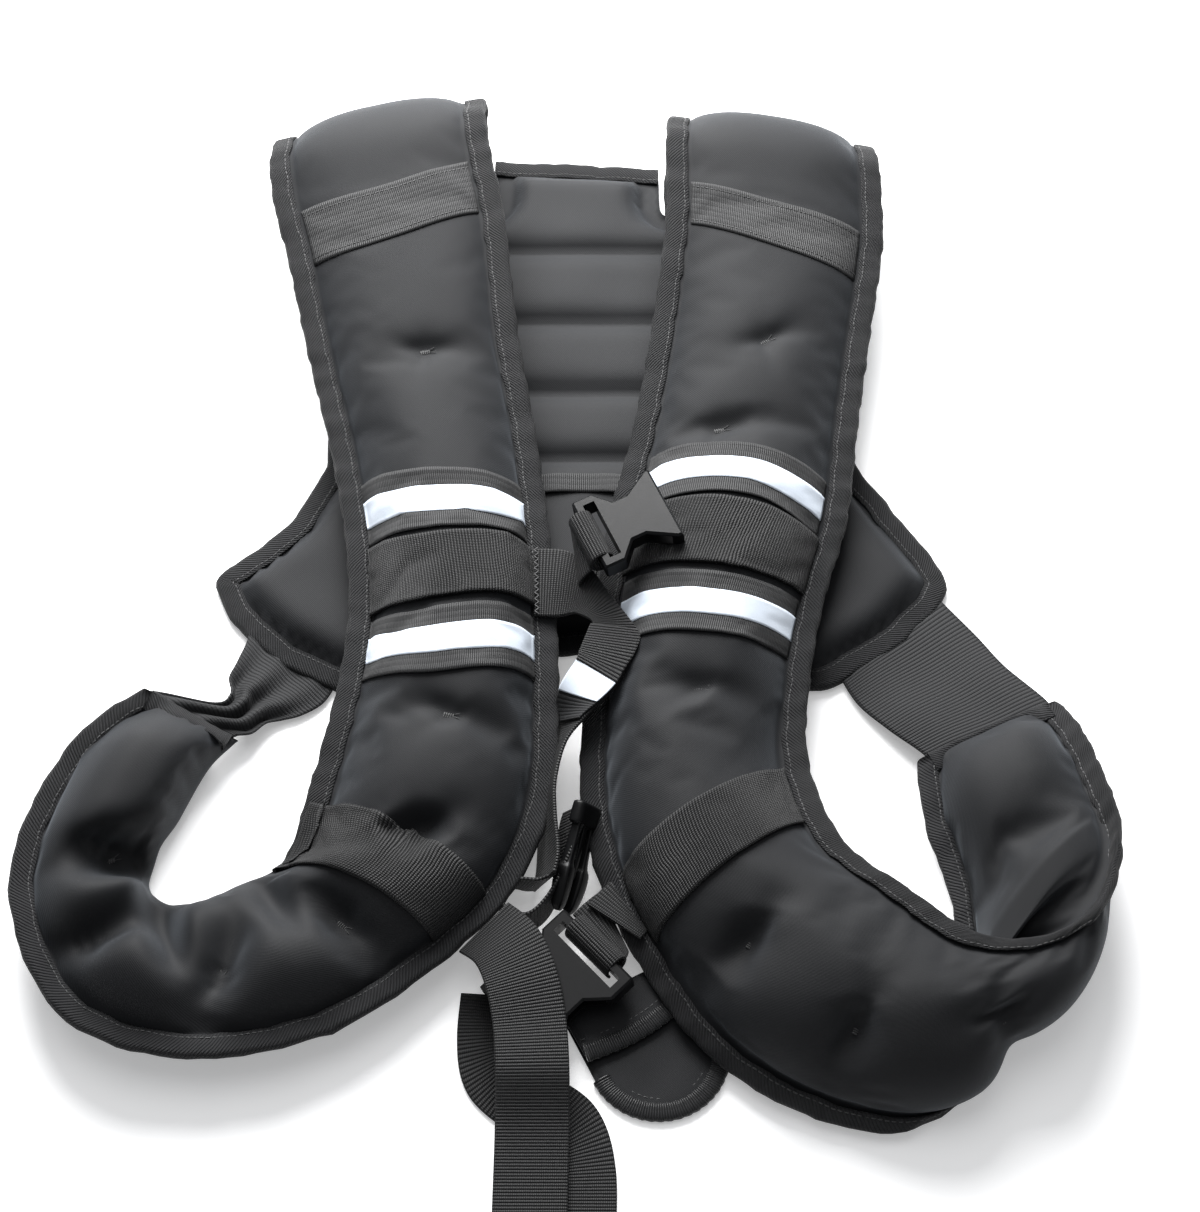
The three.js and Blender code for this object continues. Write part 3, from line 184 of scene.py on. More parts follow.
# Half outlines of the back panel from the neck to the bottom edge, as shares of width and length
BACK_LEFT = (
    (-0.118, 0.512),
    (-0.117, 0.446),
    (-0.345, 0.446),
    (-0.31, 0.37),
    (-0.28, 0.24),
    (-0.281, 0.14),
    (-0.318, 0.075),
    (-0.388, 0.022),
    (-0.368, -0.016),
    (-0.322, -0.058),
    (-0.248, -0.094),
    (-0.15, -0.06),
)
BACK_RIGHT = (
    (0.066, 0.502),
    (0.066, 0.442),
    (0.29, 0.442),
    (0.262, 0.36),
    (0.244, 0.25),
    (0.262, 0.145),
    (0.306, 0.084),
    (0.35, 0.022),
    (0.336, -0.008),
    (0.288, -0.05),
    (0.212, -0.092),
    (0.13, -0.06),
)
NECK_BOTTOM = (-0.028, 0.509)
BOTTOM_MIDDLE = (-0.028, -0.042)
CHANNELS = (0.389, 0.302, 0.221, 0.146)

# Places on the panels, as stations of their sections
CHEST_STATION = {"left": 11.84, "right": 11.52}
WAIST_STATION = {"left": 15.5, "right": 15.55}

# Bands over the filled panels: plan points of the upper and of the lower edge from the armhole side to the
# outer side, and the stations between which they are looked for
BANDS_AT = {
    "left": {
        "tape": (
            ((-0.325, 0.376), (-0.27, 0.384), (-0.222, 0.395), (-0.175, 0.413), (-0.12, 0.437)),
            ((-0.318, 0.318), (-0.265, 0.324), (-0.209, 0.337), (-0.165, 0.355), (-0.11, 0.381)),
            (6.2, 10),
        ),
        "upper": (
            ((-0.3, 0.088), (-0.255, 0.093), (-0.177, 0.085), (-0.075, 0.09), (-0.035, 0.09)),
            ((-0.29, 0.03), (-0.248, 0.031), (-0.174, 0.023), (-0.072, 0.033), (-0.03, 0.038)),
            (9, 12.7),
        ),
        "chest": (
            ((-0.29, 0.03), (-0.248, 0.03), (-0.174, 0.016), (-0.072, 0.028), (-0.03, 0.034)),
            ((-0.28, -0.036), (-0.24, -0.038), (-0.16, -0.049), (-0.066, -0.032), (-0.025, -0.024)),
            (10.2, 13.3),
        ),
        "lower": (
            ((-0.275, -0.04), (-0.237, -0.043), (-0.165, -0.058), (-0.066, -0.042), (-0.025, -0.035)),
            ((-0.27, -0.1), (-0.23, -0.104), (-0.155, -0.121), (-0.064, -0.104), (-0.02, -0.096)),
            (10.9, 14.4),
        ),
        "waist": (
            ((-0.27, -0.214), (-0.235, -0.226), (-0.19, -0.246), (-0.15, -0.266), (-0.1, -0.298)),
            ((-0.3, -0.272), (-0.262, -0.28), (-0.22, -0.298), (-0.182, -0.318), (-0.135, -0.345)),
            (13.2, 18.4),
        ),
    },
    "right": {
        "tape": (
            ((0.3, 0.353), (0.24, 0.366), (0.185, 0.377), (0.135, 0.392), (0.075, 0.412)),
            ((0.285, 0.303), (0.225, 0.315), (0.175, 0.329), (0.13, 0.346), (0.075, 0.37)),
            (6.2, 10),
        ),
        "upper": (
            ((0.27, 0.08), (0.222, 0.094), (0.145, 0.112), (0.06, 0.118), (0.01, 0.113)),
            ((0.25, 0.03), (0.207, 0.04), (0.145, 0.056), (0.065, 0.06), (0.01, 0.056)),
            (9.3, 12.6),
        ),
        "chest": (
            ((0.25, 0.028), (0.207, 0.036), (0.145, 0.049), (0.065, 0.055), (0.0, 0.052)),
            ((0.24, -0.024), (0.197, -0.019), (0.11, -0.018), (0.03, -0.004), (-0.02, 0.006)),
            (10, 13.2),
        ),
        "lower": (
            ((0.235, -0.028), (0.192, -0.026), (0.105, -0.025), (0.025, -0.01), (-0.02, 0.0)),
            ((0.225, -0.084), (0.183, -0.083), (0.101, -0.084), (0.03, -0.077), (-0.02, -0.068)),
            (10.7, 14.2),
        ),
        "waist": (
            ((0.2, -0.17), (0.15, -0.2), (0.109, -0.224), (0.07, -0.247), (0.025, -0.275)),
            ((0.215, -0.225), (0.17, -0.254), (0.127, -0.283), (0.088, -0.31), (0.04, -0.345)),
            (12.6, 18),
        ),
    },
}

# Loose webbing and elastic between two edge lines, each a list of x, y and height in millimetres
CHEST_STRAP_EDGES = (
    ((-38, 17, 33), (-19, 13, 37), (-6, 0, 42), (7, -23, 46), (19, -42, 48), (23, -51, 48), (20, -61, 47),
     (14, -71, 45), (9, -80, 44), (0, -90, 42), (-9, -100, 42), (-18, -114, 43), (-23, -136, 43),
     (-23, -155, 42), (-21, -178, 42), (-23, -190, 40)),
    ((-37, -28, 33), (-24, -29, 35), (-15, -28, 37), (-9, -32, 40), (-4, -38, 42), (-6, -45, 43),
     (-9, -53, 43), (-11, -58, 42), (-12, -62, 41), (-20, -74, 34), (-24, -86, 16), (-27, -104, 7),
     (-30, -126, 5),
     (-32, -147, 5), (-33, -173, 5), (-35, -185, 5)),
)
KEEPER_SHARES = (0.52, 0.67)
FILM_SHARES = (0.53, 0.605)
STRAP_END_SHARES = (0.3, 0.53)
# The strap's turn below the male half, on its edge, and the ply that comes back to the male half's base
STRAP_TURN_EDGES = (
    ((-23, -190, 38), (-32, -190, 30), (-43, -187, 24), (-51, -192, 22), (-49, -202, 24), (-38, -206, 26),
     (-27, -196, 30), (-18, -178, 34), (-10, -160, 38)),
    ((-35, -185, 6), (-40, -186, 8), (-47, -186, 10), (-53, -192, 10), (-50, -203, 10), (-38, -208, 9),
     (-28, -200, 10), (-22, -184, 14), (-19, -166, 18)),
)
STRAP_FLAP_EDGES = (
    ((-7, -149, 40), (-9, -156, 37), (-11, -166, 32), (-13, -176, 27)),
    ((-19, -151, 31), (-21, -158, 28), (-22, -168, 24), (-22, -178, 19)),
)
RIGHT_ELASTIC_EDGES = (
    ((192, 8, 3), (215, -25, 7), (229, -49, 12), (244, -76, 17)),
    ((134, -44, 3), (145, -68, 5), (161, -87, 9), (185, -104, 15)),
)
LEFT_ELASTIC_EDGES = (
    ((-206, -2, 3), (-202, -23, 5), (-206, -42, 9), (-210, -56, 12), (-208, -68, 15), (-216, -74, 17),
     (-240, -62, 18)),
    ((-148, -50, 3), (-156, -66, 3), (-168, -75, 4), (-179, -79, 5), (-187, -83, 8), (-194, -92, 12),
     (-201, -104, 15)),
)

# Chest buckle's female half and the pad under the waist buckle, from their panel's anchors
CHEST_FEMALE_OFFSET = (-5, 3, 28.5)
WAIST_FEMALE_OFFSET = (-9, -15)
CHEST_MALE_LINE = ((-6, -147, 34), (-20, -201, 14))
CHEST_MALE_WIDTH = (0.42, 0.3, -0.85)
# Sections of the male half from its base to its tips: share of the length, distance beside the axis, and
# half width and half depth in millimetres
MALE_BASE = (
    (0, 0, 12, 2.4),
    (0.03, 0, 13.5, 3.4),
    (0.17, 0, 13.5, 3.6),
    (0.2, 0, 13, 3.0),
    (0.215, 0, 12, 2.0),
)
MALE_ARM = (
    (0.19, 8, 1.9, 2.4),
    (0.3, 8.2, 1.9, 2.6),
    (0.45, 8.6, 2.0, 2.8),
    (0.56, 9.0, 2.6, 3.2),
    (0.62, 9.2, 4.2, 4.2),
    (0.72, 9.0, 4.6, 4.4),
    (0.85, 8.2, 4.2, 3.9),
    (0.95, 7.2, 3.0, 3.0),
    (1.0, 6.6, 1.2, 1.4),
)
MALE_STEM = ((0.19, 0, 2.0, 2.0), (0.4, 0, 2.0, 2.0), (0.66, 0, 1.8, 1.8), (0.7, 0, 0.8, 0.9))
# Webbing round a buckle's bar: distances along the buckle's axis and out of it
BAR_LOOP_PATH = (
    (2, -9), (-2.2, -7.4), (-4.6, -4.2), (-5.2, 0), (-3.8, 4.4), (0, 6.4), (4, 5.6), (6.6, 2.4), (7.4, -2),
    (6.8, -6),
)
REST_PAD_TURN = -63
REST_PAD_OFFSET = (2, -26)
REST_PAD_RADIUS = 36
REST_PAD_LENGTH = 46
REST_FLAP_LENGTH = 30
RIM_REACH = 8

# Roundings in millimetres: the hooks' ends, the ripple of the panels' edges, the back panel's padding and
# its channels, with the share of the padding that a channel takes away
END_ROUNDING = 22
RIPPLE_REACH = 26
BACK_ROUNDING = 15
CHANNEL_REACH = 6.5
CHANNEL_SHARE = 0.62

# Seams: distance of the stitches from a tape's free edge, and a stitch's share of its pitch and width
SEAM_INSET = 2.6
STITCH_SHARE = 0.78
STITCH_WIDTH = 0.8
BINDING_CLEARANCE = 0.1

# Filling of the front panels
INFLATE_STEPS = 20
INFLATE_PRESSURE = 4.0
INFLATE_LIMIT = 9
INFLATE_SHRINK = -0.02
INFLATE_CLOTH = {
    "quality": 5,
    "mass": 0.3,
    "tension_stiffness": 15,
    "compression_stiffness": 15,
    "shear_stiffness": 5,
    "bending_stiffness": 0.5,
    "use_pressure": True,
    "uniform_pressure_force": INFLATE_PRESSURE,
    "vertex_group_mass": "held",
    "shrink_min": INFLATE_SHRINK,
}

# Camera and lamps: name, place, size and power
CAMERA_ELEVATION = 58
CAMERA_DISTANCE = 1.4
CAMERA_LENS = 71.5
LAMPS = (("back_light", (-0.15, 1.05, 0.8), 1.1, 62), ("top_light", (-0.2, 0.4, 2.2), 1.8, 13))

# Loose straps: x and y from the anchor in vest lengths, height in pad depths, and turn of the width
CHEST_LOOP = (
    (0, 0, 0.8, 82),
    (-0.012, 0.002, 0.92, 88),
    (-0.019, 0.005, 1.2, 98),
    (-0.013, 0.007, 1.5, 106),
)
WAIST_STRAP = (
    (0, 0, 0.62, 48),
    (0.018, -0.018, 0.74, 34),
    (0.03, -0.045, 0.74, 18),
    (0.037, -0.077, 0.62, 6),
    (0.04, -0.115, 0.56, 1),
    (0.04, -0.158, 0.18, 0),
    (0.039, -0.236, 0.12, 0),
)
WAIST_TAIL = (
    (0.076, -0.236, 0.02, 0),
    (0.076, -0.19, 0.02, 4),
    (0.066, -0.155, 0.02, 40),
    (0.036, -0.133, 0.02, 62),
    (0.012, -0.11, 0.02, 40),
    (0.008, -0.08, 0.02, 4),
    (0.01, -0.045, 0.03, -4),
)
WAIST_LOOP = (
    (0, -0.001, 0.5, -66),
    (-0.007, -0.01, 0.56, -53),
    (-0.013, -0.018, 0.6, -47),
)


def length(name, description, millimetres):
    """A length that the add-on's panel shows."""
    return FloatProperty(name=name, description=description, default=millimetres * MM, unit="LENGTH")


def tint(name, description, colour):
    """A colour that the add-on's panel shows."""
    return FloatVectorProperty(name=name, description=description, subtype="COLOR", default=colour)


class VestSizes(bpy.types.PropertyGroup):
    """Sizes of the trims, straps and stitches."""

    binding_width: length("Binding width", "Width of binding on each face", 12)
    binding_thickness: length("Binding thickness", "Thickness of the twill tape", 1.4)
    strap_width: length("Strap width", "Width of the chest and waist straps", 38)
    webbing_thickness: length("Webbing thickness", "Thickness of the straps", 1.8)
    ribbon_width: length("Ribbon width", "Width of the grosgrain ribbons", 42)
    stripe_width: length("Stripe width", "Width of the reflective stripes", 17.5)
    elastic_width: length("Elastic width", "Width of the side elastics", 74)
    mesh_step: length("Mesh step", "Distance between the fabric's points", 4.2)
    stitch_pitch: length("Stitch pitch", "Distance from stitch to stitch", 3.4)


class VestColours(bpy.types.PropertyGroup):
    """Colours of the fabrics, trims and plastic."""

    neoprene: tint("Neoprene", "Knit over the padding", (0.0065, 0.0068, 0.0078))
    twill: tint("Twill", "Binding tape", (0.0055, 0.0057, 0.0065))
    webbing: tint("Webbing", "Straps", (0.0055, 0.0056, 0.006))
    grosgrain: tint("Grosgrain", "Ribbon", (0.016, 0.0162, 0.0168))
    reflective: tint("Reflective", "Stripes", (0.6, 0.66, 0.74))
    plastic: tint("Plastic", "Buckles", (0.004, 0.0041, 0.0045))
    elastic: tint("Elastic", "Elastic bands", (0.008, 0.0083, 0.0092))
    thread: tint("Thread", "Stitches and overlocked rims", (0.012, 0.0122, 0.013))


def sizes():
    """The scene's sizes in millimetres, by name."""
    group = bpy.context.scene.vest_sizes
    return SimpleNamespace(**{key: getattr(group, key) / MM for key in VestSizes.__annotations__})


def curve_through(rows, s):
    """Values of a table at stations s, on a Catmull-Rom curve through its rows."""
    rows = np.asarray(rows, float)
    last = len(rows) - 1
    s = np.atleast_1d(np.asarray(s, float))
    i = np.clip(np.floor(s).astype(int), 0, last - 1)
    t = (s - i)[:, None]
    a, b, c, d = (rows[np.clip(i + k, 0, last)] for k in (-1, 0, 1, 2))
    bend = (2 * a - 5 * b + 4 * c - d) * t**2 + (3 * b - a - 3 * c + d) * t**3
    return 0.5 * (2 * b + (c - a) * t + bend)


def unit(vectors):
    """Vectors scaled to length 1."""
    return vectors / np.maximum(np.linalg.norm(vectors, axis=-1, keepdims=True), 1e-9)


def direction(turn, tilt):
    """Unit vectors at a turn in the plan and a tilt above it, in degrees."""
    a, b = np.radians(turn), np.radians(tilt)
    return np.stack([np.cos(a) * np.cos(b), np.sin(a) * np.cos(b), np.sin(b)], -1)


def waver(travel, phase, length, size):
    """A slow uneven wave along an edge: three sines whose lengths are in no simple ratio."""
    turn = 2 * math.pi * np.asarray(travel, float) / length
    wave = 0.5 * np.sin(turn + phase) + 0.3 * np.sin(1.73 * turn + 2.1 * phase)
    return size * (wave + 0.2 * np.sin(2.91 * turn + phase**2))


def run_along(points):
    """Distance travelled along a line of points, from 0."""
    return np.concatenate([[0], np.cumsum(np.linalg.norm(np.diff(points, axis=0), axis=1))])


def cloth_measure(along, across):
    """The cloth's own measure along and across, a pair for each point of a grid."""
    return np.stack(np.broadcast_arrays(along, across), -1).reshape(-1, 2)


def upward_normals(points):
    """Unit normals of a grid of points, from its differences along rows and columns, turned upwards."""
    up = unit(np.cross(np.gradient(points, axis=0), np.gradient(points, axis=1)))
    return up * np.sign(np.sum(up[..., 2]))


def flange_width():
    """Width of the flat edge that a binding holds."""
    return sizes().binding_width + 4 * GAP


class Panel:
    """A filled front panel with its shoulder: flat-edged padded sections carried along a middle line."""

    def __init__(self, side, rows, dents, flip):
        self.side, self.flip = side, flip
        self.rows = np.asarray(rows, float)
        self.dents = np.asarray(dents, float)
        self.last = len(rows) - 1
        self.fine = np.linspace(0, self.last, 60 * self.last + 1)
        self.travel = run_along(self.middle(self.fine))

    def middle(self, s):
        """Middle line at stations s."""
        row = curve_through(self.rows, s)
        height = row[:, 2] * BACK_REST + row[:, 3] * PAD_DEPTH
        return np.stack([row[:, 0] * VEST_WIDTH, row[:, 1] * VEST_LENGTH, height], -1)

    def sections(self, s):
        """Edges, directions and padding at stations s."""
        row = curve_through(self.rows, s)
        across = direction(row[:, 5], row[:, 6])
        ahead = self.middle(np.minimum(s + 0.1, self.last)) - self.middle(np.maximum(s - 0.1, 0))
        normal = unit(self.flip * np.cross(ahead, across))
        width = row[:, 4] * PANEL_WIDTH
        armhole = self.middle(s) - across * width[:, None] / 2
        floor = np.maximum(row[:, 2], 0) * BACK_REST
        travel = np.interp(s, self.fine, self.travel)
        return SimpleNamespace(
            s=s, row=row, across=across, normal=normal, width=width, armhole=armhole, floor=floor,
            travel=travel,
        )

    def puff(self, points):
        """Share of the padding left at each point: one minus a round hollow at each tack."""
        left = np.ones(points.shape[:-1])
        for x, y, deep, long, broad, turn in self.dents:
            dx = points[..., 0] - x * VEST_WIDTH
            dy = points[..., 1] - y * VEST_LENGTH
            c, s = math.cos(math.radians(turn)), math.sin(math.radians(turn))
            away = ((dx * c + dy * s) / long) ** 2 + ((dy * c - dx * s) / broad) ** 2
            soft = 0.22 if y > -0.2 else 0.85
            left = left * (1 - soft * deep * np.exp(-away / PANEL_WIDTH**2))
        return left

    def bare(self, s):
        """Share of the armhole edge that is left without binding at stations s, as on the left hook."""
        return np.clip((s - 14.9) / 0.7, 0, 1) if self.side == "left" else np.zeros(len(s))

    def skin(self, at, share, side):
        """Points of one face: share runs from the armhole edge to the outer edge, and the height over the
        middle plane is half the flange plus the padding, rounded off towards both flanges."""
        flange = flange_width()
        width = at.width[:, None]
        reach = share[None, :] * width
        point = at.armhole[:, None] + at.across[:, None] * reach[..., None]
        first = flange * (1 - 0.9 * self.bare(at.s))[:, None]
        inner = np.clip((reach - first) / (width - first - flange), 0, 1)
        swell = (1 - np.abs(2 * inner - 1) ** 2.6) ** 0.75
        pad = (at.row[:, 7] if side > 0 else at.row[:, 8])[:, None] * PAD_DEPTH
        end = np.clip((self.travel[-1] - at.travel) / END_ROUNDING, 0, 1)[:, None]
        end = np.sqrt(end * (2 - end))
        shows = side > 0 or self.side == "right"
        turned = (at.row[:, 0] > 0.37) & (at.row[:, 1] > -0.3)
        puff = self.puff(point) if shows else 1.0
        if side < 0 and shows:
            puff = np.where(turned[:, None], puff, 1.0)
        height = FLANGE / 2 + pad * swell * puff * end
        edge = np.clip(1 - np.minimum(reach, width - reach) / RIPPLE_REACH, 0, 1) ** 2
        outer, inner = (waver(at.travel, *wave)[:, None] for wave in ((1.3, 47, 1.0), (4.1, 53, 1.0)))
        ripple = np.where(reach > width / 2, outer, inner)
        point = point + at.normal[:, None] * (side * height + ripple * edge)[..., None]
        point[..., 2] = np.maximum(point[..., 2], at.floor[:, None])
        return point


LEFT = Panel("left", LEFT_SECTIONS, LEFT_DENTS, 1)
RIGHT = Panel("right", RIGHT_SECTIONS, RIGHT_DENTS, -1)
PANELS = (LEFT, RIGHT)


def grid_faces(rows, columns, wrap=False):
    """Quads of a grid of points listed row by row. With wrap, the last column joins the first."""
    i, j = np.meshgrid(np.arange(rows - 1), np.arange(columns if wrap else columns - 1), indexing="ij")
    k = (j + 1) % columns
    corners = [i * columns + j, i * columns + k, (i + 1) * columns + k, (i + 1) * columns + j]
    return np.stack(corners, -1).reshape(-1, 4)


def smoothed(points, times, axis=0):
    """Each point moved towards the mean of its neighbours along one axis, with both ends kept."""
    points = np.moveaxis(np.array(points, float), axis, 0)
    for _ in range(times):
        points[1:-1] = (points[:-2] + 2 * points[1:-1] + points[2:]) / 4
    return np.moveaxis(points, 0, axis)


def new_piece(name, points, faces, slot, uv=None, node=None):
    """A smooth-shaded mesh from points in the tables' millimetres, riding on the body. uv is in metres, one
    pair a point. Its faces are turned outwards, and it stands for the CAD nodes given."""
    mesh = bpy.data.meshes.new(name)
    mesh.from_pydata(((np.asarray(points) + ORIGIN) * MM).tolist(), [], [tuple(f) for f in faces])
    mesh.polygons.foreach_set("use_smooth", np.ones(len(mesh.polygons), bool))
    if uv is not None:
        corner = np.zeros(len(mesh.loops), np.int32)
        mesh.loops.foreach_get("vertex_index", corner)
        layer = mesh.uv_layers.new(name="cloth")
        layer.data.foreach_set("uv", (np.asarray(uv)[corner] * MM).astype(np.float32).ravel())
    mesh.materials.append(MATERIALS[slot]())
    mesh.update()
    piece = bpy.data.objects.new(name, mesh)
    bpy.context.scene.collection.objects.link(piece)
    turn_outwards(mesh)
    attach(piece, BODY)
    if node:
        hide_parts(*([node] if isinstance(node, str) else node))
    return piece


def turn_outwards(mesh):
    """Flips every face where the closed mesh's signed volume is negative."""
    co = coordinates(mesh)
    mesh.calc_loop_triangles()
    tri = np.zeros(len(mesh.loop_triangles) * 3, np.int32)
    mesh.loop_triangles.foreach_get("vertices", tri)
    a, b, c = (co[tri.reshape(-1, 3)[:, k]] for k in range(3))
    if np.sum(a * np.cross(b, c)) < 0:
        mesh.flip_normals()


def carried(name, centre, across, out, profile, slot, node=None, across_uv=None):
    """A closed profile carried along a line: each loop's points are the centre plus across times the
    profile's first column plus out times its second. across_uv gives the cloth's own measure."""
    profile = np.asarray(profile, float)
    if profile.ndim == 2:
        profile = np.repeat(profile[None], len(centre), 0)
    loops = centre[:, None] + across[:, None] * profile[..., :1] + out[:, None] * profile[..., 1:]
    rows, columns = loops.shape[:2]
    faces = list(grid_faces(rows, columns, wrap=True))
    faces.append(tuple(range(columns)))
    faces.append(tuple(range((rows - 1) * columns, rows * columns))[::-1])
    if across_uv is None:
        across_uv = profile[0, :, 0]
    uv = cloth_measure(run_along(centre)[:, None], np.asarray(across_uv)[None])
    return new_piece(name, loops.reshape(-1, 3), faces, slot, uv=uv, node=node)


def flat_profile(width, thickness):
    """A flat strap's section: a rounded rectangle whose long sides hold evenly spread points."""
    x = np.concatenate([[-1, -0.985], np.linspace(-0.94, 0.94, 9), [0.985, 1]])
    y = np.concatenate([[0.35, 0.8], np.ones(9), [0.8, 0.35]])
    top = np.stack([x * width / 2, y * thickness / 2], -1)
    return np.concatenate([top, top[::-1] * (1, -1)])


# Materials: built once each, from node trees

_materials = {}


class Finish:
    """A node tree with a Principled shader, and short ways to add the nodes that feed it."""

    def __init__(self, name):
        self.material = bpy.data.materials.new(name)
        self.material.use_nodes = True
        self.tree = self.material.node_tree
        self.shader = self.tree.nodes["Principled BSDF"]

    def set(self, **values):
        """Constant values for the shader's sockets, with underscores for spaces."""
        for key, value in values.items():
            self.shader.inputs[key.replace("_", " ")].default_value = value

    def add(self, kind, settings=(), **sockets):
        """A node with its settings and its inputs, each a number or another node's output."""
        node = self.tree.nodes.new(kind)
        for key, value in dict(settings).items():
            setattr(node, key, value)
        for key, value in sockets.items():
            name = key.replace("_", " ")
            socket = node.inputs[int(name[5:])] if name.startswith("input") else node.inputs[name]
            if isinstance(value, bpy.types.NodeSocket):
                self.tree.links.new(value, socket)
            else:
                socket.default_value = value
        return node

    def maths(self, operation, first, second=0.0):
        node = self.add("ShaderNodeMath", {"operation": operation}, input0=first, input1=second)
        return node.outputs[0]

    def cloth(self):
        """The piece's own measure along and across, in metres."""
        uv = self.add("ShaderNodeUVMap", {"uv_map": "cloth"})
        split = self.add("ShaderNodeSeparateXYZ", Vector=uv.outputs["UV"])
        return uv.outputs["UV"], split.outputs["X"], split.outputs["Y"]

    def place(self):
        return self.add("ShaderNodeTexCoord").outputs["Object"]

    def ridge(self, distance, pitch, sharp=1.0):
        """Ribs along a measure: the height of a half sine at each pitch, from 0 to 1."""
        turn = self.maths("MULTIPLY", distance, math.pi / pitch)
        wave = self.maths("ABSOLUTE", self.maths("SINE", turn))
        return self.maths("POWER", wave, sharp)

    def noise(self, vector, scale, detail=2.0):
        node = self.add("ShaderNodeTexNoise", Vector=vector, Scale=scale, Detail=detail)
        return node.outputs["Fac"]

    def colour(self, factor, dark, light):
        node = self.add("ShaderNodeMix", {"data_type": "RGBA"})
        self.tree.links.new(factor, node.inputs[0])
        node.inputs[6].default_value = (*dark, 1)
        node.inputs[7].default_value = (*light, 1)
        self.tree.links.new(node.outputs[2], self.shader.inputs["Base Color"])

    def bump(self, height, distance, strength):
        """Bumps of the given height over the whole surface."""
        node = self.add("ShaderNodeBump", Height=height, Distance=distance, Strength=strength)
        self.tree.links.new(node.outputs["Normal"], self.shader.inputs["Normal"])


def shades(name, low, high):
    """A darker and a lighter shade of one of the vest's colours."""
    colour = tuple(getattr(bpy.context.scene.vest_colours, name))
    return tuple(c * low for c in colour), tuple(c * high for c in colour)


def neoprene():
    """Smooth knit over foam: a fine stitch grain, faint blotches and a soft sheen."""
    finish = Finish("neoprene")
    finish.set(Roughness=0.7, Sheen_Weight=0.14, Sheen_Roughness=0.45, Specular_IOR_Level=0.22)
    finish.set(Sheen_Tint=(0.82, 0.9, 1.0, 1))
    _, along, across = finish.cloth()
    knit = finish.ridge(finish.maths("ADD", along, across), 0.0013)
    where = finish.place()
    blotch = finish.noise(where, 22, 3)
    grain = finish.noise(where, 1400, 1)
    finish.colour(blotch, *shades("neoprene", 0.8, 1.25))
    height = finish.maths("ADD", finish.maths("MULTIPLY", grain, 0.6), finish.maths("MULTIPLY", knit, 0.5))
    finish.bump(height, 0.0003, 0.35)
    return finish.material


def twill():
    """Binding tape: slanted ribs on both sides of its fold, with painted highlight on the ribs' crests and
    painted shade in their grooves.
    """
    finish = Finish("twill")
    finish.set(Roughness=0.68, Sheen_Weight=0.05, Sheen_Roughness=0.4, Specular_IOR_Level=0.24)
    _, along, across = finish.cloth()
    slant = finish.maths("ADD", along, finish.maths("MULTIPLY", finish.maths("ABSOLUTE", across), 1.1))
    rib = finish.ridge(slant, 0.0021, 0.7)
    weave = finish.ridge(finish.maths("SUBTRACT", along, across), 0.0009)
    height = finish.maths("ADD", rib, finish.maths("MULTIPLY", weave, 0.25))
    # Colour follows the rib height: the lighter crests are a painted highlight and the darker grooves a
    # painted shade.
    finish.colour(rib, *shades("twill", 0.55, 1.5))
    finish.bump(height, 0.0005, 0.9)
    return finish.material


def woven(name, pitch, depth, cross, roughness=0.58, sheen=0.04, colour=None):
    """Webbing, ribbon or elastic: ribs across the piece at each pitch, with fine yarns along it, and
    painted highlight on the ribs' crests and painted shade in their grooves.
    """
    finish = Finish(name)
    finish.set(Roughness=roughness, Sheen_Weight=sheen, Sheen_Roughness=0.35, Specular_IOR_Level=0.3)
    _, along, across = finish.cloth()
    rib = finish.ridge(along, pitch, 0.8)
    yarn = finish.ridge(across, cross, 0.8)
    height = finish.maths("ADD", rib, finish.maths("MULTIPLY", yarn, 0.35))
    # Colour follows the rib height: the lighter crests are a painted highlight and the darker grooves a
    # painted shade.
    finish.colour(rib, *shades(colour or name, 0.5, 1.4))
    finish.bump(height, depth, 0.9)
    return finish.material


def webbing():
    return woven("webbing", 0.0017, 0.0006, 0.0011)


def grosgrain():
    return woven("grosgrain", 0.0012, 0.0003, 0.004)


def elastic():
    return woven("elastic", 0.0022, 0.0004, 0.0012, 0.7)


def satin():
    """Overlocked edge: close glossy threads across the rim."""
    return woven("satin", 0.0013, 0.0006, 0.012, 0.32, 0.35, "thread")


def reflective():
    """Glass-bead film: bright silver with a faint bead grain."""
    finish = Finish("reflective")
    finish.set(Roughness=0.42, Specular_IOR_Level=0.7)
    where = finish.place()
    finish.colour(finish.noise(where, 900, 1), *shades("reflective", 0.95, 1.05))
    finish.bump(finish.noise(where, 2500, 1), 0.0001, 0.4)
    return finish.material


def plastic():
    """Moulded acetal: nearly smooth, slightly glossy, with faint scuffs."""
    finish = Finish("plastic")
    finish.set(Specular_IOR_Level=0.2)
    where = finish.place()
    scuff = finish.noise(where, 260, 4)
    rough = finish.add("ShaderNodeMapRange", Value=scuff, To_Min=0.3, To_Max=0.46)
    finish.tree.links.new(rough.outputs["Result"], finish.shader.inputs["Roughness"])
    finish.colour(scuff, *shades("plastic", 0.9, 1.2))
    finish.bump(finish.noise(where, 900, 2), 0.0001, 0.25)
    return finish.material


def thread():
    """Spun thread with a slight shine."""
    finish = Finish("thread")
    finish.set(Roughness=0.5, Sheen_Weight=0.2, Specular_IOR_Level=0.5)
    fibre = finish.noise(finish.place(), 2200, 1)
    finish.colour(fibre, *shades("thread", 0.7, 1.6))
    finish.bump(fibre, 0.0001, 0.4)
    return finish.material


def once(build):
    """A material's maker that makes it the first time and then gives the same one."""

    def get():
        if build.__name__ not in _materials:
            _materials[build.__name__] = build()
        return _materials[build.__name__]

    return get


MATERIALS = {
    make.__name__: once(make)
    for make in (neoprene, twill, webbing, grosgrain, reflective, plastic, elastic, thread, satin)
}


# Filled panels: their grids and bands once made, and how many columns lie on each flange

SURFACES = {}
BANDS = {}
FLANGE_COLUMNS = 4


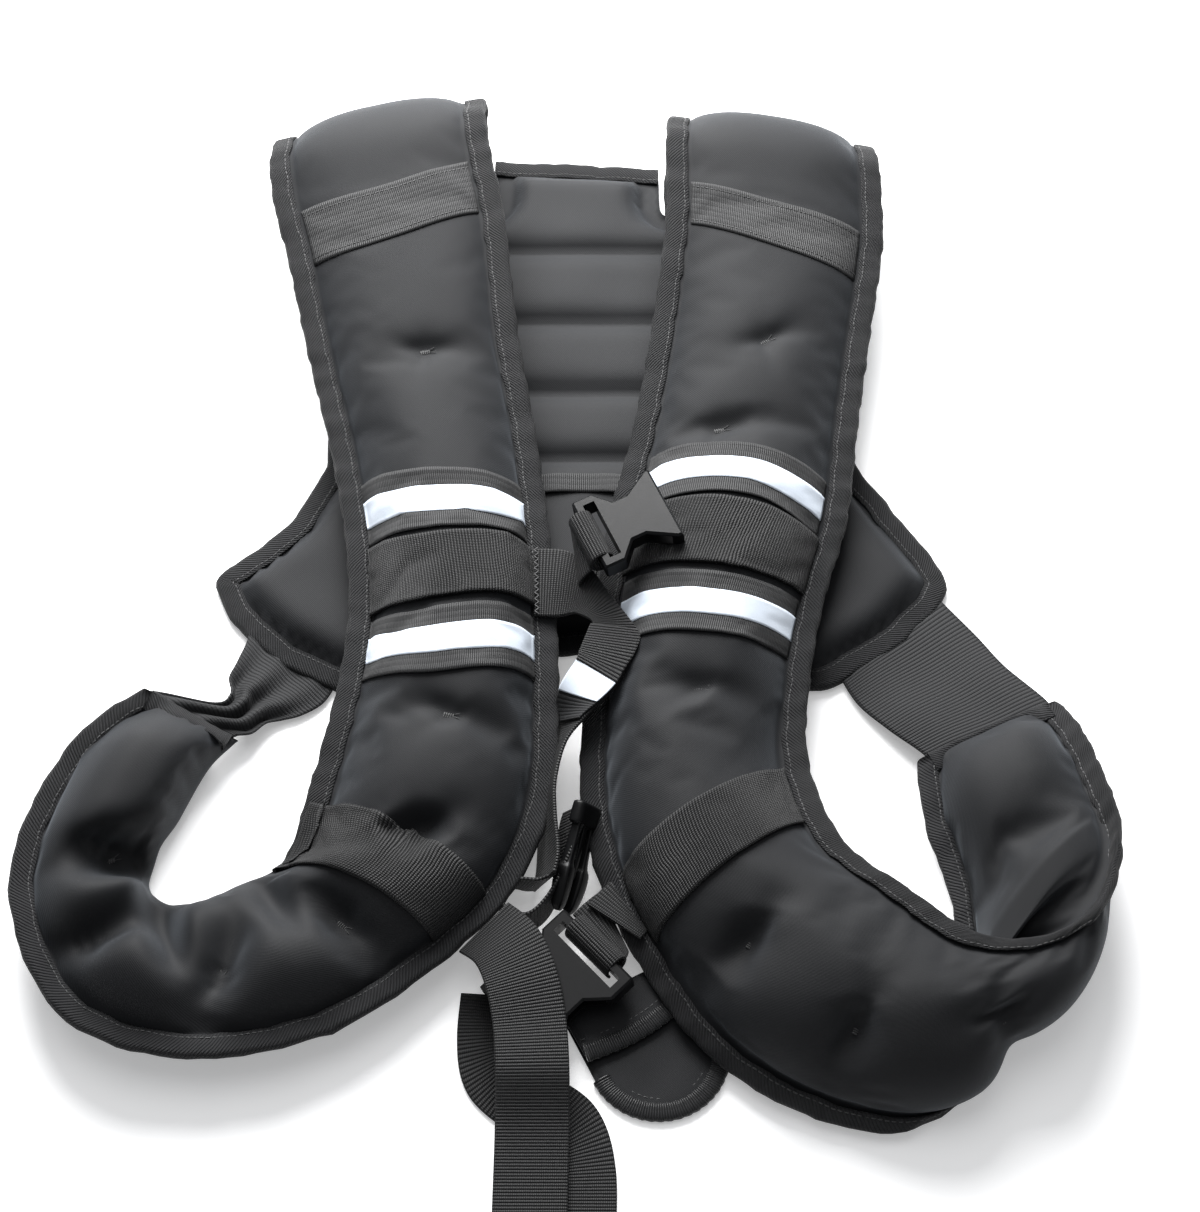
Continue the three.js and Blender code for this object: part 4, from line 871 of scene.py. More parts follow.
def panel_columns():
    """Shares of the width at which a section holds points: close together at the flanges."""
    flange = flange_width() / PANEL_WIDTH
    inside = 0.5 - 0.5 * np.cos(np.linspace(0, math.pi, 33)[1:-1])
    inside = 0.6 * inside + 0.4 * np.linspace(0, 1, 33)[1:-1]
    first = np.linspace(0, flange, FLANGE_COLUMNS)
    last = np.linspace(1 - flange, 1, FLANGE_COLUMNS)
    return np.concatenate([first, flange + inside * (1 - 2 * flange), last])


def coordinates(mesh):
    """A mesh's points, a row each."""
    points = np.zeros(len(mesh.vertices) * 3, np.float32)
    mesh.vertices.foreach_get("co", points)
    return points.reshape(-1, 3)


def inflate(piece, held):
    """Points of a closed fabric piece blown up from inside while some are held, in the tables' millimetres.
    Each moves by limit * tanh(distance / limit)."""
    start = coordinates(piece.data)
    group = piece.vertex_groups.new(name="held")
    group.add([int(k) for k in np.flatnonzero(held)], 1.0, "REPLACE")
    cloth = piece.modifiers.new("Inflate", "CLOTH")
    for key, value in INFLATE_CLOTH.items():
        setattr(cloth.settings, key, value)
    cloth.settings.effector_weights.gravity = 0
    cloth.collision_settings.use_collision = False
    cloth.point_cache.frame_end = INFLATE_STEPS
    for step in range(1, INFLATE_STEPS + 1):
        bpy.context.scene.frame_set(step)
    shape = piece.evaluated_get(bpy.context.evaluated_depsgraph_get()).to_mesh()
    moved = coordinates(shape).copy()
    piece.modifiers.remove(cloth)
    piece.vertex_groups.clear()
    bpy.context.scene.frame_set(1)
    shift = moved - start
    far = np.linalg.norm(shift, axis=1, keepdims=True)
    limit = INFLATE_LIMIT * MM
    shift = shift * (limit * np.tanh(far / limit) / np.maximum(far, 1e-9))
    return (start + shift) / MM - ORIGIN


class VEST_OT_filled_panels(bpy.types.Operator):
    """Two hooked front panels with their shoulders, blown up from inside and held at seams and tacks"""

    bl_idname = "vest.filled_panels"
    bl_label = "Filled panels"

    def execute(self, context):
        for panel in PANELS:
            self.make(panel)
        return {"FINISHED"}

    def make(self, panel):
        size = sizes()
        count = int(panel.travel[-1] / size.mesh_step)
        s = np.interp(np.linspace(0, panel.travel[-1], count), panel.travel, panel.fine)
        at = panel.sections(s)
        share = panel_columns()
        front = panel.skin(at, share, 1)
        back = panel.skin(at, share[::-1], -1)
        loops = np.concatenate([front, back], 1)
        rows, columns = loops.shape[:2]
        k = np.arange(len(share) - 1)
        ends = np.stack([k, k + 1, columns - 2 - k, columns - 1 - k], -1)
        faces = [grid_faces(rows, columns, wrap=True), ends, (ends + (rows - 1) * columns)[:, ::-1]]
        reach = at.width[:, None] * share[None]
        across = np.concatenate([reach, reach[:, ::-1]], 1)
        piece = new_piece(
            f"{panel.side}_filled_panel", loops.reshape(-1, 3), np.concatenate(faces), "neoprene",
            uv=cloth_measure(at.travel[:, None], across),
            node=(f"{panel.side}_shoulder", f"{panel.side}_front_panel"),
        )
        held = np.zeros((rows, columns), bool)
        near = FLANGE_COLUMNS
        held[:, :near] = held[:, len(share) - near : len(share) + near] = held[:, -near:] = True
        held[0] = held[-1] = True
        bare = panel.bare(s) > 0.5
        held[bare, 2:4] = held[bare, -4:-2] = False
        held |= loops[..., 2] <= at.floor[:, None] + 0.5
        blown = inflate(piece, held.ravel()).reshape(rows, columns, 3)
        free = np.interp(s, (9, 13), (0.3, 0.9))[:, None, None]
        loops = loops + (blown - loops) * free
        points = self.tacked(panel, loops, len(share)).reshape(-1, 3)
        loops = points.reshape(rows, columns, 3)
        piece.data.vertices.foreach_set("co", ((points + ORIGIN) * MM).astype(np.float32).ravel())
        piece.data.update()
        finer = piece.modifiers.new("Finer", "SUBSURF")
        finer.levels = finer.render_levels = 1
        SURFACES[panel.side] = SimpleNamespace(
            at=at, share=share, front=loops[:, : len(share)], back=loops[:, len(share) :][:, ::-1]
        )

    def tacked(self, panel, loops, front):
        """Pulls the front face in at each tack: a steep narrow pit, with short creases that run out from it
        and fade with distance."""
        loops = loops.copy()
        face = loops[:, :front]
        up = upward_normals(face)
        pull = np.zeros(face.shape[:2])
        for k, (x, y, *_, turn) in enumerate(panel.dents[:TACKS]):
            at = face[..., :2] - (x * VEST_WIDTH, y * VEST_LENGTH)
            away = np.linalg.norm(at, axis=-1)
            angle = np.arctan2(at[..., 1], at[..., 0]) - math.radians(turn)
            crease = np.maximum(np.cos(angle), 0) ** 14 + 0.7 * np.maximum(-np.cos(angle + 0.3), 0) ** 14
            crease = crease + 0.45 * np.maximum(np.cos(angle + 1.9 + 0.3 * k), 0) ** 18
            fold = 3.4 * crease * np.exp(-((away / 26) ** 2)) * (away > 2)
            pit = 5.5 * np.exp(-((away / 6.5) ** 1.3)) + fold
            pull += pit * (1.5 if y < -0.2 else 1.0)
        edge = np.minimum(np.arange(front), np.arange(front)[::-1])
        loops[:, :front] = face - up * (pull * np.clip((edge - 3) / 4, 0, 1))[..., None]
        return loops


def sample(grid, i, j):
    """Points of a grid at fractional rows i and columns j, by straight-line mixing of the four nearest."""
    rows, columns = grid.shape[:2]
    i, j = np.clip(i, 0, rows - 1.001), np.clip(j, 0, columns - 1.001)
    a, b = i.astype(int), j.astype(int)
    u, v = (i - a)[..., None], (j - b)[..., None]
    return (
        grid[a, b] * (1 - u) * (1 - v)
        + grid[a + 1, b] * u * (1 - v)
        + grid[a, b + 1] * (1 - u) * v
        + grid[a + 1, b + 1] * u * v
    )


def thick_grid(name, points, up, thickness, slot, node, uv):
    """A sheet with a rounded edge: the grid's points, and the same points a thickness higher, joined all
    round through a rim half way up."""
    rows, columns = points.shape[:2]
    top = points + up * thickness
    i, j = np.indices((rows, columns))
    ring = np.concatenate(
        [
            (i * columns + j)[0, :-1],
            (i * columns + j)[:-1, -1],
            (i * columns + j)[-1, :0:-1],
            (i * columns + j)[:0:-1, 0],
        ]
    )
    count = rows * columns
    faces = grid_faces(rows, columns)
    after = np.roll(ring, -1)
    wall = np.stack([ring, after, after + count, ring + count], -1)
    every = np.concatenate([faces[:, ::-1], faces + count, wall])
    both = np.concatenate([points.reshape(-1, 3), top.reshape(-1, 3)])
    return new_piece(name, both, every, slot, uv=np.concatenate([uv, uv]), node=node)


def find_on(grid, plan):
    """Fractional rows and columns of the grid points over a plan position: the nearest point, then three
    straight-line corrections."""
    flat = grid[..., :2].reshape(-1, 2)
    near = np.argmin(((plan.reshape(-1, 1, 2) - flat[None]) ** 2).sum(-1), 1)
    i, j = (near // grid.shape[1]).astype(float), (near % grid.shape[1]).astype(float)
    target = plan.reshape(-1, 2)
    for _ in range(3):
        here = sample(grid, i, j)[:, :2]
        di = sample(grid, i + 0.5, j)[:, :2] - sample(grid, i - 0.5, j)[:, :2]
        dj = sample(grid, i, j + 0.5)[:, :2] - sample(grid, i, j - 0.5)[:, :2]
        miss = target - here
        det = di[:, 0] * dj[:, 1] - di[:, 1] * dj[:, 0]
        det = np.where(np.abs(det) < 1e-6, 1e-6, det)
        i = i + np.clip((miss[:, 0] * dj[:, 1] - miss[:, 1] * dj[:, 0]) / det, -2, 2)
        j = j + np.clip((di[:, 0] * miss[:, 1] - di[:, 1] * miss[:, 0]) / det, -2, 2)
    return i.reshape(plan.shape[:-1]), j.reshape(plan.shape[:-1])


def film_on(name, band, width, band_width, slot, node):
    """A thin film along the middle of a band, a little proud of the band's own upper points."""
    points, up = BANDS[band].points, BANDS[band].up
    share = np.linspace(-0.5, 0.5, 11) * width / band_width + 0.5
    rows, columns = points.shape[:2]
    i, j = np.broadcast_arrays(share[:, None] * (rows - 1), np.arange(columns)[None] * 1.0)
    points, up = sample(points, i, j), unit(sample(up, i, j))
    uv = cloth_measure(run_along(points[5])[None], (share * band_width)[:, None])
    return thick_grid(name, points + up * 0.08, up, 0.22, slot, node, uv)


def band_on(panel, name, edges, proud, thickness, slot, node, reach=(3.2, 3.2), stiff=3, lift_edges=0.0):
    """A band between two plan edges: points between the edges' curves are looked up on the panel, held
    inside the bindings, and raised where the band bridges a hollow. lift_edges raises its long edges
    between its sewn ends. reach is how many columns from each edge of the panel it starts and stops."""
    surface = SURFACES[panel.side]
    rows = (surface.at.s > edges[2][0]) & (surface.at.s < edges[2][1])
    grid = surface.front[rows]
    s = np.linspace(0, 4, 60)
    upper, lower = (curve_through(e, s) * (VEST_WIDTH, VEST_LENGTH) for e in edges[:2])
    v = np.linspace(0, 1, 19)[:, None, None]
    i, j = find_on(grid, upper + (lower - upper) * v)
    i, j = smoothed(i, 3, 1), smoothed(j, 3, 1)
    stops = (reach[0], grid.shape[1] - 1 - reach[1])
    for row in range(len(i)):
        rising = np.maximum.accumulate(j[row])
        here = np.linspace(*np.interp(stops, rising, s), len(s))
        i[row], j[row] = np.interp(here, s, i[row]), np.interp(here, s, j[row])
    i, j = smoothed(i, 2), np.clip(smoothed(j, 2), *stops)
    ground = sample(grid, i, j)
    up = upward_normals(ground)
    bridged = smoothed(smoothed(ground, 10 * stiff, 1), stiff, 0)
    lift = np.maximum(np.sum((bridged - ground) * up, -1), 0)
    arch = np.abs(2 * v[..., 0] - 1) ** 4 * lift_edges * np.sin(np.linspace(0, math.pi, len(s)))[None]
    points = ground + up * (lift + proud + arch)[..., None]
    width = np.linalg.norm(points[0, 30] - points[-1, 30])
    uv = cloth_measure(run_along(points[9])[None], (v[:, 0] - 0.5) * width)
    BANDS[name] = SimpleNamespace(points=points + up * thickness, up=up)
    return thick_grid(name, points, up, thickness, slot, node, uv)


def seam(name, lines, pitch, length, width):
    """Stitches a pitch apart along lines, each given by its points and normals."""
    places = [(line, up, even_along(line, pitch)) for line, up in lines]
    centre = [pick(line, index) for line, up, index in places]
    ahead = [pick(np.gradient(line, axis=0), index) for line, up, index in places]
    out = [pick(up, index) for line, up, index in places]
    stitches(name, *(np.concatenate(k) for k in (centre, ahead, out)), length, width)


class VEST_OT_ribbons(bpy.types.Operator):
    """Seam tapes, reflective ribbons and webbing on the front panels"""

    bl_idname = "vest.ribbons"
    bl_label = "Ribbons and webbing"

    def execute(self, context):
        size = sizes()
        for panel in PANELS:
            side = panel.side
            at = BANDS_AT[side]
            tape = f"{side}_seam_tape"
            band_on(panel, tape, at["tape"], 0.1, 0.6, "grosgrain", f"{side}_shoulder_tape", stiff=1)
            sewn = [(BANDS[tape].points[row], BANDS[tape].up[row]) for row in (2, 16)]
            seam(f"{side}_tape_stitches", sewn, 3.0, 2.25, 0.7)
            band_on(
                panel, f"{side}_chest_band", at["chest"], 1.2, size.webbing_thickness, "webbing",
                f"{side}_chest_webbing", stiff=6, lift_edges=0.8,
            )
            for level in ("upper", "lower"):
                band, node = f"{side}_{level}_band", f"{side}_{level}_ribbon"
                band_on(panel, band, at[level], 0.3, 0.5, "grosgrain", node, lift_edges=1.0)
                film_on(
                    f"{side}_{level}_film", band, size.stripe_width, size.ribbon_width, "reflective",
                    f"{side}_{level}_stripe",
                )
            first = 0.3 if side == "left" else 3.2
            band_on(
                panel, f"{side}_waist_band", at["waist"], 0.6, size.webbing_thickness, "webbing",
                f"{side}_waist_webbing", (first, 3.2), 7,
            )
        return {"FINISHED"}


def binding_profile():
    """Tape folded round an edge: outside from one free edge round the fold to the other, then back inside.
    The first column runs inwards from the edge, and the second stands up from the middle plane."""
    width, near = sizes().binding_width, FLANGE / 2 + BINDING_CLEARANCE
    far = near + sizes().binding_thickness
    turn = np.linspace(-math.pi / 2, math.pi / 2, 7)
    fold = np.stack([FLANGE / 2 - far * np.cos(turn), far * np.sin(turn)], -1)
    outer = np.concatenate([[[width, -far + 0.4], [width - 0.6, -far], [width / 2, -far - 0.1]], fold])
    outer = np.concatenate([outer, [[width / 2, far + 0.1], [width - 0.6, far], [width, far - 0.4]]])
    inner = np.array([[width, near], [1.2, near], [0, 0.8 * near]])
    inner = np.concatenate([inner, inner[::-1] * (1, -1)])
    measure = run_along(outer)
    measure = measure - measure[-1] / 2
    inside = np.interp(np.linspace(1, -1, len(inner)), [-1, 1], [measure[0], measure[-1]])
    return np.concatenate([outer, inner]), np.concatenate([measure, inside])


def edge_frames(surface, edge):
    """Edge points, inward directions and normals along one edge of a filled panel."""
    front, back = surface.front, surface.back
    if edge == "armhole":
        point, inward = (front[:, 0] + back[:, 0]) / 2, unit(front[:, 3] - front[:, 0])
    else:
        point, inward = (front[:, -1] + back[:, -1]) / 2, unit(front[:, -4] - front[:, -1])
    return point, inward, surface.at.normal


def stitches(name, centre, ahead, up, length, width):
    """Short raised stitches: each is a pointed six-sided grain that lies along ahead."""
    ahead, up = unit(ahead), unit(up)
    side = unit(np.cross(up, ahead))
    turn = np.linspace(0, 2 * math.pi, 6, endpoint=False)
    rings = [(-0.5, 0.25), (-0.3, 0.9), (0.3, 0.9), (0.5, 0.25)]
    points = []
    for along, size in rings:
        ring = (
            ahead[:, None] * along * length
            + side[:, None] * (np.cos(turn) * size * width / 2)[None, :, None]
            + up[:, None] * (np.sin(turn) * size * width / 2)[None, :, None]
        )
        points.append(centre[:, None] + ring)
    points = np.stack(points, 1)
    number = len(centre)
    faces = grid_faces(4, 6, wrap=True)
    every = (faces[None] + (np.arange(number) * 24)[:, None, None]).reshape(-1, 4)
    first = np.arange(6)[None] + (np.arange(number) * 24)[:, None]
    every = [*every, *first, *(first + 18)[:, ::-1]]
    return new_piece(name, points.reshape(-1, 3), every, "thread")


def even_along(points, pitch):
    """Fractional indices along a line of points, one every pitch."""
    travel = run_along(points)
    return np.interp(np.arange(pitch / 2, travel[-1], pitch), travel, np.arange(len(points)))


def pick(values, index):
    """Rows of an array at fractional indices, by straight-line mixing."""
    a = np.clip(index.astype(int), 0, len(values) - 2)
    t = (index - a)[:, None]
    return values[a] * (1 - t) + values[a + 1] * t


class VEST_OT_bindings(bpy.types.Operator):
    """Twill binding round the filled panels' edges, with its stitches"""

    bl_idname = "vest.bindings"
    bl_label = "Panel bindings"

    def execute(self, context):
        size = sizes()
        profile, measure = binding_profile()
        for panel in PANELS:
            surface = SURFACES[panel.side]
            for edge in ("armhole", "outer"):
                point, inward, normal = edge_frames(surface, edge)
                if edge == "armhole":
                    bound = panel.bare(surface.at.s) < 0.6
                    point, inward, normal = point[bound], inward[bound], normal[bound]
                travel = surface.at.travel[: len(point)]
                pucker = 1 + waver(travel, 2.7, 19, 0.1)[:, None, None] * (0.35, 1.0)
                wobble = inward * waver(travel, 0.4, 23, 0.7)[:, None]
                point = point + (wobble + normal * waver(travel, 3.1, 17, 0.5)[:, None])
                carried(
                    f"{panel.side}_{edge}_edging", point, inward, normal, profile * pucker, "twill",
                    node=f"{panel.side}_{edge}_binding", across_uv=measure,
                )
                far = FLANGE / 2 + BINDING_CLEARANCE + size.binding_thickness
                line = point + inward * (size.binding_width - SEAM_INSET)
                index = even_along(line, size.stitch_pitch)
                centre, up = pick(line, index), pick(normal, index)
                ahead = pick(np.gradient(line, axis=0), index)
                both = np.concatenate([centre + up * far, centre - up * far])
                stitches(
                    f"{panel.side}_{edge}_stitches", both, np.concatenate([ahead, ahead]),
                    np.concatenate([up, -up]), size.stitch_pitch * STITCH_SHARE, STITCH_WIDTH,
                )
            self.hook_end(panel, surface, profile, measure)
            self.tack_bars(panel, surface)
        return {"FINISHED"}

    def hook_end(self, panel, surface, profile, measure):
        """The same tape across the end of the hook, a little thicker so that it covers the side tapes."""
        point = (surface.front[-1] + surface.back[-1]) / 2
        inward = unit(surface.front[-6] - surface.front[-1])
        normal = np.repeat(surface.at.normal[-1:], len(point), 0)
        ahead = unit(np.gradient(point, axis=0))
        inward = unit(inward - ahead * np.sum(inward * ahead, -1, keepdims=True))
        wave = waver(np.arange(len(point)) * 3.0, 1.1, 31, 0.5)[:, None]
        point, inward, normal, wave = (v[2:-2] for v in (point, inward, normal, wave))
        carried(
            f"{panel.side}_end_edging", point - inward * 0.6 + normal * wave, inward, normal,
            profile * (1.0, 1.25), "twill", across_uv=measure,
        )

    def tack_bars(self, panel, surface):
        """Each tack: a bar of close stitches at the bottom of its pit, and two loose ends of thread."""
        grid = surface.front
        spots = panel.dents[:TACKS, :2] * (VEST_WIDTH, VEST_LENGTH)
        i, j = find_on(grid, spots)
        centre = sample(grid, i, j)
        turn = np.radians(panel.dents[:TACKS, 5])
        ahead = np.stack([np.cos(turn), np.sin(turn), 0 * turn], -1)
        side = np.stack([-np.sin(turn), np.cos(turn), 0 * turn], -1)
        up = np.tile([0.0, 0.0, 1.0], (len(centre), 1))
        steps = np.repeat(np.linspace(-2.4, 2.4, 5), len(centre))[:, None]
        many = np.tile(centre, (5, 1)) + np.tile(ahead, (5, 1)) * steps + (0, 0, 0.5)
        stitches(f"{panel.side}_tack_bars", many, np.tile(side, (5, 1)), np.tile(up, (5, 1)), 3.0, 1.1)
        loose = np.concatenate([centre + ahead * 4 + side * 1.2, centre + ahead * 4.4 - side * 1.0])
        loose = loose + (0, 0, 1.2)
        lean = np.concatenate([ahead + side * 0.35, ahead - side * 0.2]) + (0, 0, 0.25)
        stitches(f"{panel.side}_tack_threads", loose, lean, np.tile(up, (2, 1)), 5.0, 0.5)


def outline_points():
    """The back panel's outline, anticlockwise from the neck's left, with curved neck and bottom edges."""
    scale = np.array([VEST_WIDTH, VEST_LENGTH])
    left, right = np.array(BACK_LEFT) * scale, np.array(BACK_RIGHT) * scale
    neck = np.array(NECK_BOTTOM) * scale
    neck_pull = np.array([neck[0], 2 * neck[1] - (left[0, 1] + right[0, 1]) / 2])
    bottom_pull = np.array(BOTTOM_MIDDLE) * scale

    def arch(a, b, c, count):
        t = np.linspace(0, 1, count)[1:-1, None]
        return a * (1 - t) ** 2 + 2 * b * t * (1 - t) + c * t**2

    bottom = arch(left[-1], bottom_pull, right[-1], 6)
    return left, bottom, right[::-1], arch(right[0], neck_pull, left[0], 10)


def rounded_path(points, step, times):
    """A line through corners, made of even steps with its corners rounded and both ends kept."""
    travel = run_along(points)
    count = int(travel[-1] / step)
    at = np.linspace(0, travel[-1], count)
    path = np.stack([np.interp(at, travel, points[:, k]) for k in range(points.shape[1])], -1)
    return smoothed(path, times)


def distance_to(path, points):
    """Distance from each point to the nearest segment of a closed path."""
    a, b = path, np.roll(path, -1, axis=0)
    d = b - a
    t = np.clip(((points[:, None] - a) * d).sum(-1) / (d**2).sum(-1), 0, 1)
    return np.sqrt((((a + d * t[..., None]) - points[:, None]) ** 2).sum(-1).min(1))


def within(path, points):
    """Whether each point lies inside a closed path, by counting the path's crossings to its right."""
    a, b = path, np.roll(path, -1, axis=0)
    above = (a[:, 1] > points[:, 1:2]) != (b[:, 1] > points[:, 1:2])
    rise = np.where(np.abs(b[:, 1] - a[:, 1]) < 1e-9, 1e-9, b[:, 1] - a[:, 1])
    cross = a[:, 0] + (points[:, 1:2] - a[:, 1]) * (b[:, 0] - a[:, 0]) / rise
    return (above & (points[:, :1] < cross)).sum(1) % 2 == 1


def back_height(points, path, face):
    """Height of the back panel's face: the flange, then padding rounded up over a few millimetres, sewn
    down along the channels and slightly uneven."""
    lift = sizes().binding_thickness + GAP
    edge = distance_to(path, points)
    inside = np.clip((edge - flange_width()) / BACK_ROUNDING, 0, 1)
    round_up = np.sqrt(inside * (2 - inside))
    if face < 0:
        return lift * (1 - round_up)
    seams = np.array(CHANNELS) * VEST_LENGTH
    away = np.abs(points[:, 1:2] - seams).min(1)
    sewn = np.where(points[:, 1] > 0.1 * VEST_LENGTH, np.exp(-(away / CHANNEL_REACH) ** 1.2), 0)
    x, y = points.T
    uneven = 0.6 * np.sin(x / 17 + y / 23) * np.sin(x / 29 - y / 13)
    top = (BACK_PAD - lift - FLANGE - 0.6 + uneven) * (1 - CHANNEL_SHARE * sewn)
    return lift + FLANGE + top * round_up


def plan_solid(name, path, spacing, low, high, slot, node):
    """A solid over a plan outline: a triangle net of its inside, once at the upper heights and once at the
    lower ones, joined along the outline. low and high give the heights at plan points."""
    x = np.arange(path[:, 0].min(), path[:, 0].max(), spacing)
    y = np.arange(path[:, 1].min(), path[:, 1].max(), spacing * 0.87)
    gx, gy = np.meshgrid(x, y)
    gx = gx + (np.arange(len(y)) % 2)[:, None] * spacing / 2
    inside = np.stack([gx.ravel(), gy.ravel()], -1)
    inside = inside[within(path, inside)]
    inside = inside[distance_to(path, inside) > spacing * 0.6]
    count = len(path)
    every = np.concatenate([path, inside])
    edges = [(k, (k + 1) % count) for k in range(count)]
    net = delaunay_2d_cdt([Vector(p) for p in every.tolist()], edges, [list(range(count))], 1, 1e-4)
    plan = np.array([tuple(v) for v in net[0]])
    faces = np.array([f for f in net[2] if len(f) == 3])
    top = np.concatenate([plan, high(plan)[:, None]], 1)
    base = np.concatenate([plan, low(plan)[:, None]], 1)
    total = len(plan)
    ring = np.arange(count)
    after = np.roll(ring, -1)
    walls = np.stack([ring, after, after + total, ring + total], -1)
    every_face = [*faces, *(faces + total)[:, ::-1], *walls]
    uv = np.concatenate([plan, plan])
    return new_piece(name, np.concatenate([top, base]), every_face, slot, uv=uv, node=node)


def plan_edge(path, height):
    """Points, inward directions and normals along a plan path whose inside lies to its left."""
    ahead = np.gradient(path, axis=0)
    inward = unit(np.stack([-ahead[:, 1], ahead[:, 0], np.zeros(len(path))], -1))
    point = np.concatenate([path, np.full((len(path), 1), height)], 1)
    return point, inward, np.tile([0.0, 0.0, 1.0], (len(path), 1))


class VEST_OT_back_panel(bpy.types.Operator):
    """Quilted back panel with its binding, neck edging and pocket"""

    bl_idname = "vest.back_panel"
    bl_label = "Back panel"

    def execute(self, context):
        size = sizes()
        left, bottom, right, neck = outline_points()
        outline = np.concatenate([left, bottom, right, neck, left[:1]])
        path = rounded_path(outline, 5, 3)[:-1]
        plan_solid(
            "back_pad", path, 5, lambda p: back_height(p, path, -1), lambda p: back_height(p, path, 1),
            "neoprene", "back_panel",
        )
        profile, measure = binding_profile()
        middle = size.binding_thickness + GAP + FLANGE / 2
        side = rounded_path(np.concatenate([left[2:], bottom, right[:-2]]), 4, 6)
        self.edging("back_edging", side, middle, profile, measure, "back_binding")
        top = rounded_path(np.concatenate([right[-1:], neck, left[:1]]), 4, 3)
        self.edging("neck_edging", top, middle, profile, measure, "neck_binding")
        self.pocket()
        return {"FINISHED"}

    def edging(self, name, path, middle, profile, measure, node):
        size = sizes()
        point, inward, up = plan_edge(path, middle)
        travel = np.arange(len(path)) * 4.0
        point = point + inward * waver(travel, 2.2, 41, 0.9)[:, None]
        point = point + up * np.abs(waver(travel, 0.7, 37, 0.8))[:, None]
        carried(name, point, inward, up, profile, "twill", node=node, across_uv=measure)
        top = FLANGE / 2 + BINDING_CLEARANCE + size.binding_thickness
        line = point + inward * (size.binding_width - SEAM_INSET) + up * top
        pitch = size.stitch_pitch
        seam(f"{name}_stitches", [(line, up)], pitch, pitch * STITCH_SHARE, STITCH_WIDTH)

    def pocket(self):
        """Flat pocket whose mouth curves up in the middle, and a ribbon folded over the mouth."""
        x = np.linspace(-1, 1, 49)
        middle = np.array(POCKET_AT) * (VEST_WIDTH, VEST_LENGTH)
        mouth = middle[1] - POCKET_MOUTH_RISE * x**2
        y = np.linspace(0, 1, 45)[:, None]
        bottom = middle[1] - POCKET_LENGTH
        plan_y = bottom + (mouth - bottom) * y
        plan_x = np.broadcast_to(middle[0] + x * POCKET_WIDTH / 2, plan_y.shape)
        belly = 1.6 * np.sin(np.pi * y) * (1 - x**2) + 0.5 * np.sin(plan_x / 7) * np.sin(plan_y / 15)
        height = np.broadcast_to(BACK_PAD + GAP, plan_y.shape) + np.maximum(belly, 0) * 0.3
        points = np.stack([plan_x, plan_y, height], -1)
        up = np.broadcast_to([0.0, 0.0, 1.0], points.shape)
        uv = cloth_measure(plan_y, plan_x)
        thick_grid("pocket_cloth", points, up, 1.8, "neoprene", "back_pocket", uv)
        y = np.linspace(0, 1, 9)[:, None]
        plan_y = mouth - POCKET_RIBBON_WIDTH * (1 - y)
        plan_x = np.broadcast_to(plan_x[0], plan_y.shape)
        wave = 0.6 * np.sin(plan_x / 6)
        height = np.broadcast_to(BACK_PAD + POCKET_THICKNESS + 0.6, plan_y.shape) + wave
        points = np.stack([plan_x, plan_y, height], -1)
        up = np.broadcast_to([0.0, 0.0, 1.0], points.shape)
        uv = cloth_measure(plan_x, plan_y)
        thick_grid("pocket_edging", points, up, RIBBON_THICKNESS, "grosgrain", "pocket_ribbon", uv)


def beside_outer(panel, station):
    """A point just clear of a panel's outer binding."""
    at = panel.sections(np.array([float(station)]))
    beyond = at.width[0] + 3 * GAP + sizes().binding_thickness
    return at.armhole[0] + at.across[0] * beyond


def strap(name, rows, anchor, width, thickness, node, count=90, share=1.0):
    """A webbing strap carried flat through its rows, with a share of its full width showing."""
    row = curve_through(rows, np.linspace(0, len(rows) - 1, count))
    centre = row[:, :3] * (VEST_LENGTH, VEST_LENGTH, PAD_DEPTH)
    centre = centre + (anchor[0], anchor[1], thickness / 2)
    across = direction(row[:, 3], 0 * row[:, 3])
    out = unit(np.cross(np.gradient(centre, axis=0), across))
    profile = flat_profile(width, thickness) * (share, 1)
    piece = carried(name, centre, across, out, profile, "webbing", node=node)
    return piece


def between(
    name, edges, slot, node, thickness, flat_width, folds=None, part=(0, 1), shift=0.0, count=110
):
    """A band of straight lines from one edge's curve to the other's. folds gives a height along the normal
    at shares of the length and of the width, part is the stretch of the length that is made, and shift
    moves the whole outwards."""
    s = np.linspace(part[0], part[1], count) * (len(edges[0]) - 1)
    a, b = (curve_through(edge, s)[:, None] for edge in edges)
    v = np.linspace(0, 1, 33)[None, :, None]
    points = a + (b - a) * v
    up = upward_normals(points)
    if folds is not None:
        points = points + up * folds((s / (len(edges[0]) - 1))[:, None], v[..., 0])[..., None]
        up = upward_normals(points)
    points = points + up * shift
    run = run_along(points[:, 16])
    uv = cloth_measure(run[:, None], (v[..., 0] - 0.5) * flat_width)
    piece = thick_grid(name, points, up, thickness, slot, node, uv)


def gathered_folds(share, across):
    """Lengthwise folds of the squeezed elastic: waves over the width, deepest in the middle of its length,
    that lean with the length."""
    deep = 0.4 + 3.2 * np.exp(-(((share - 0.55) / 0.3) ** 2))
    edge = np.sin(math.pi * np.clip(across, 0.02, 0.98)) ** 0.3
    return deep * np.sin(2 * math.pi * (2.6 * across + 0.5 * share) + 0.8) * edge


def slack_folds(share, across):
    """Slight bow of the stretched elastic, with two faint lengthwise waves."""
    wave = 1.1 * np.sin(math.pi * share) * np.sin(2 * math.pi * (1.4 * across + 0.15))
    return wave + 0.8 * np.sin(math.pi * across)


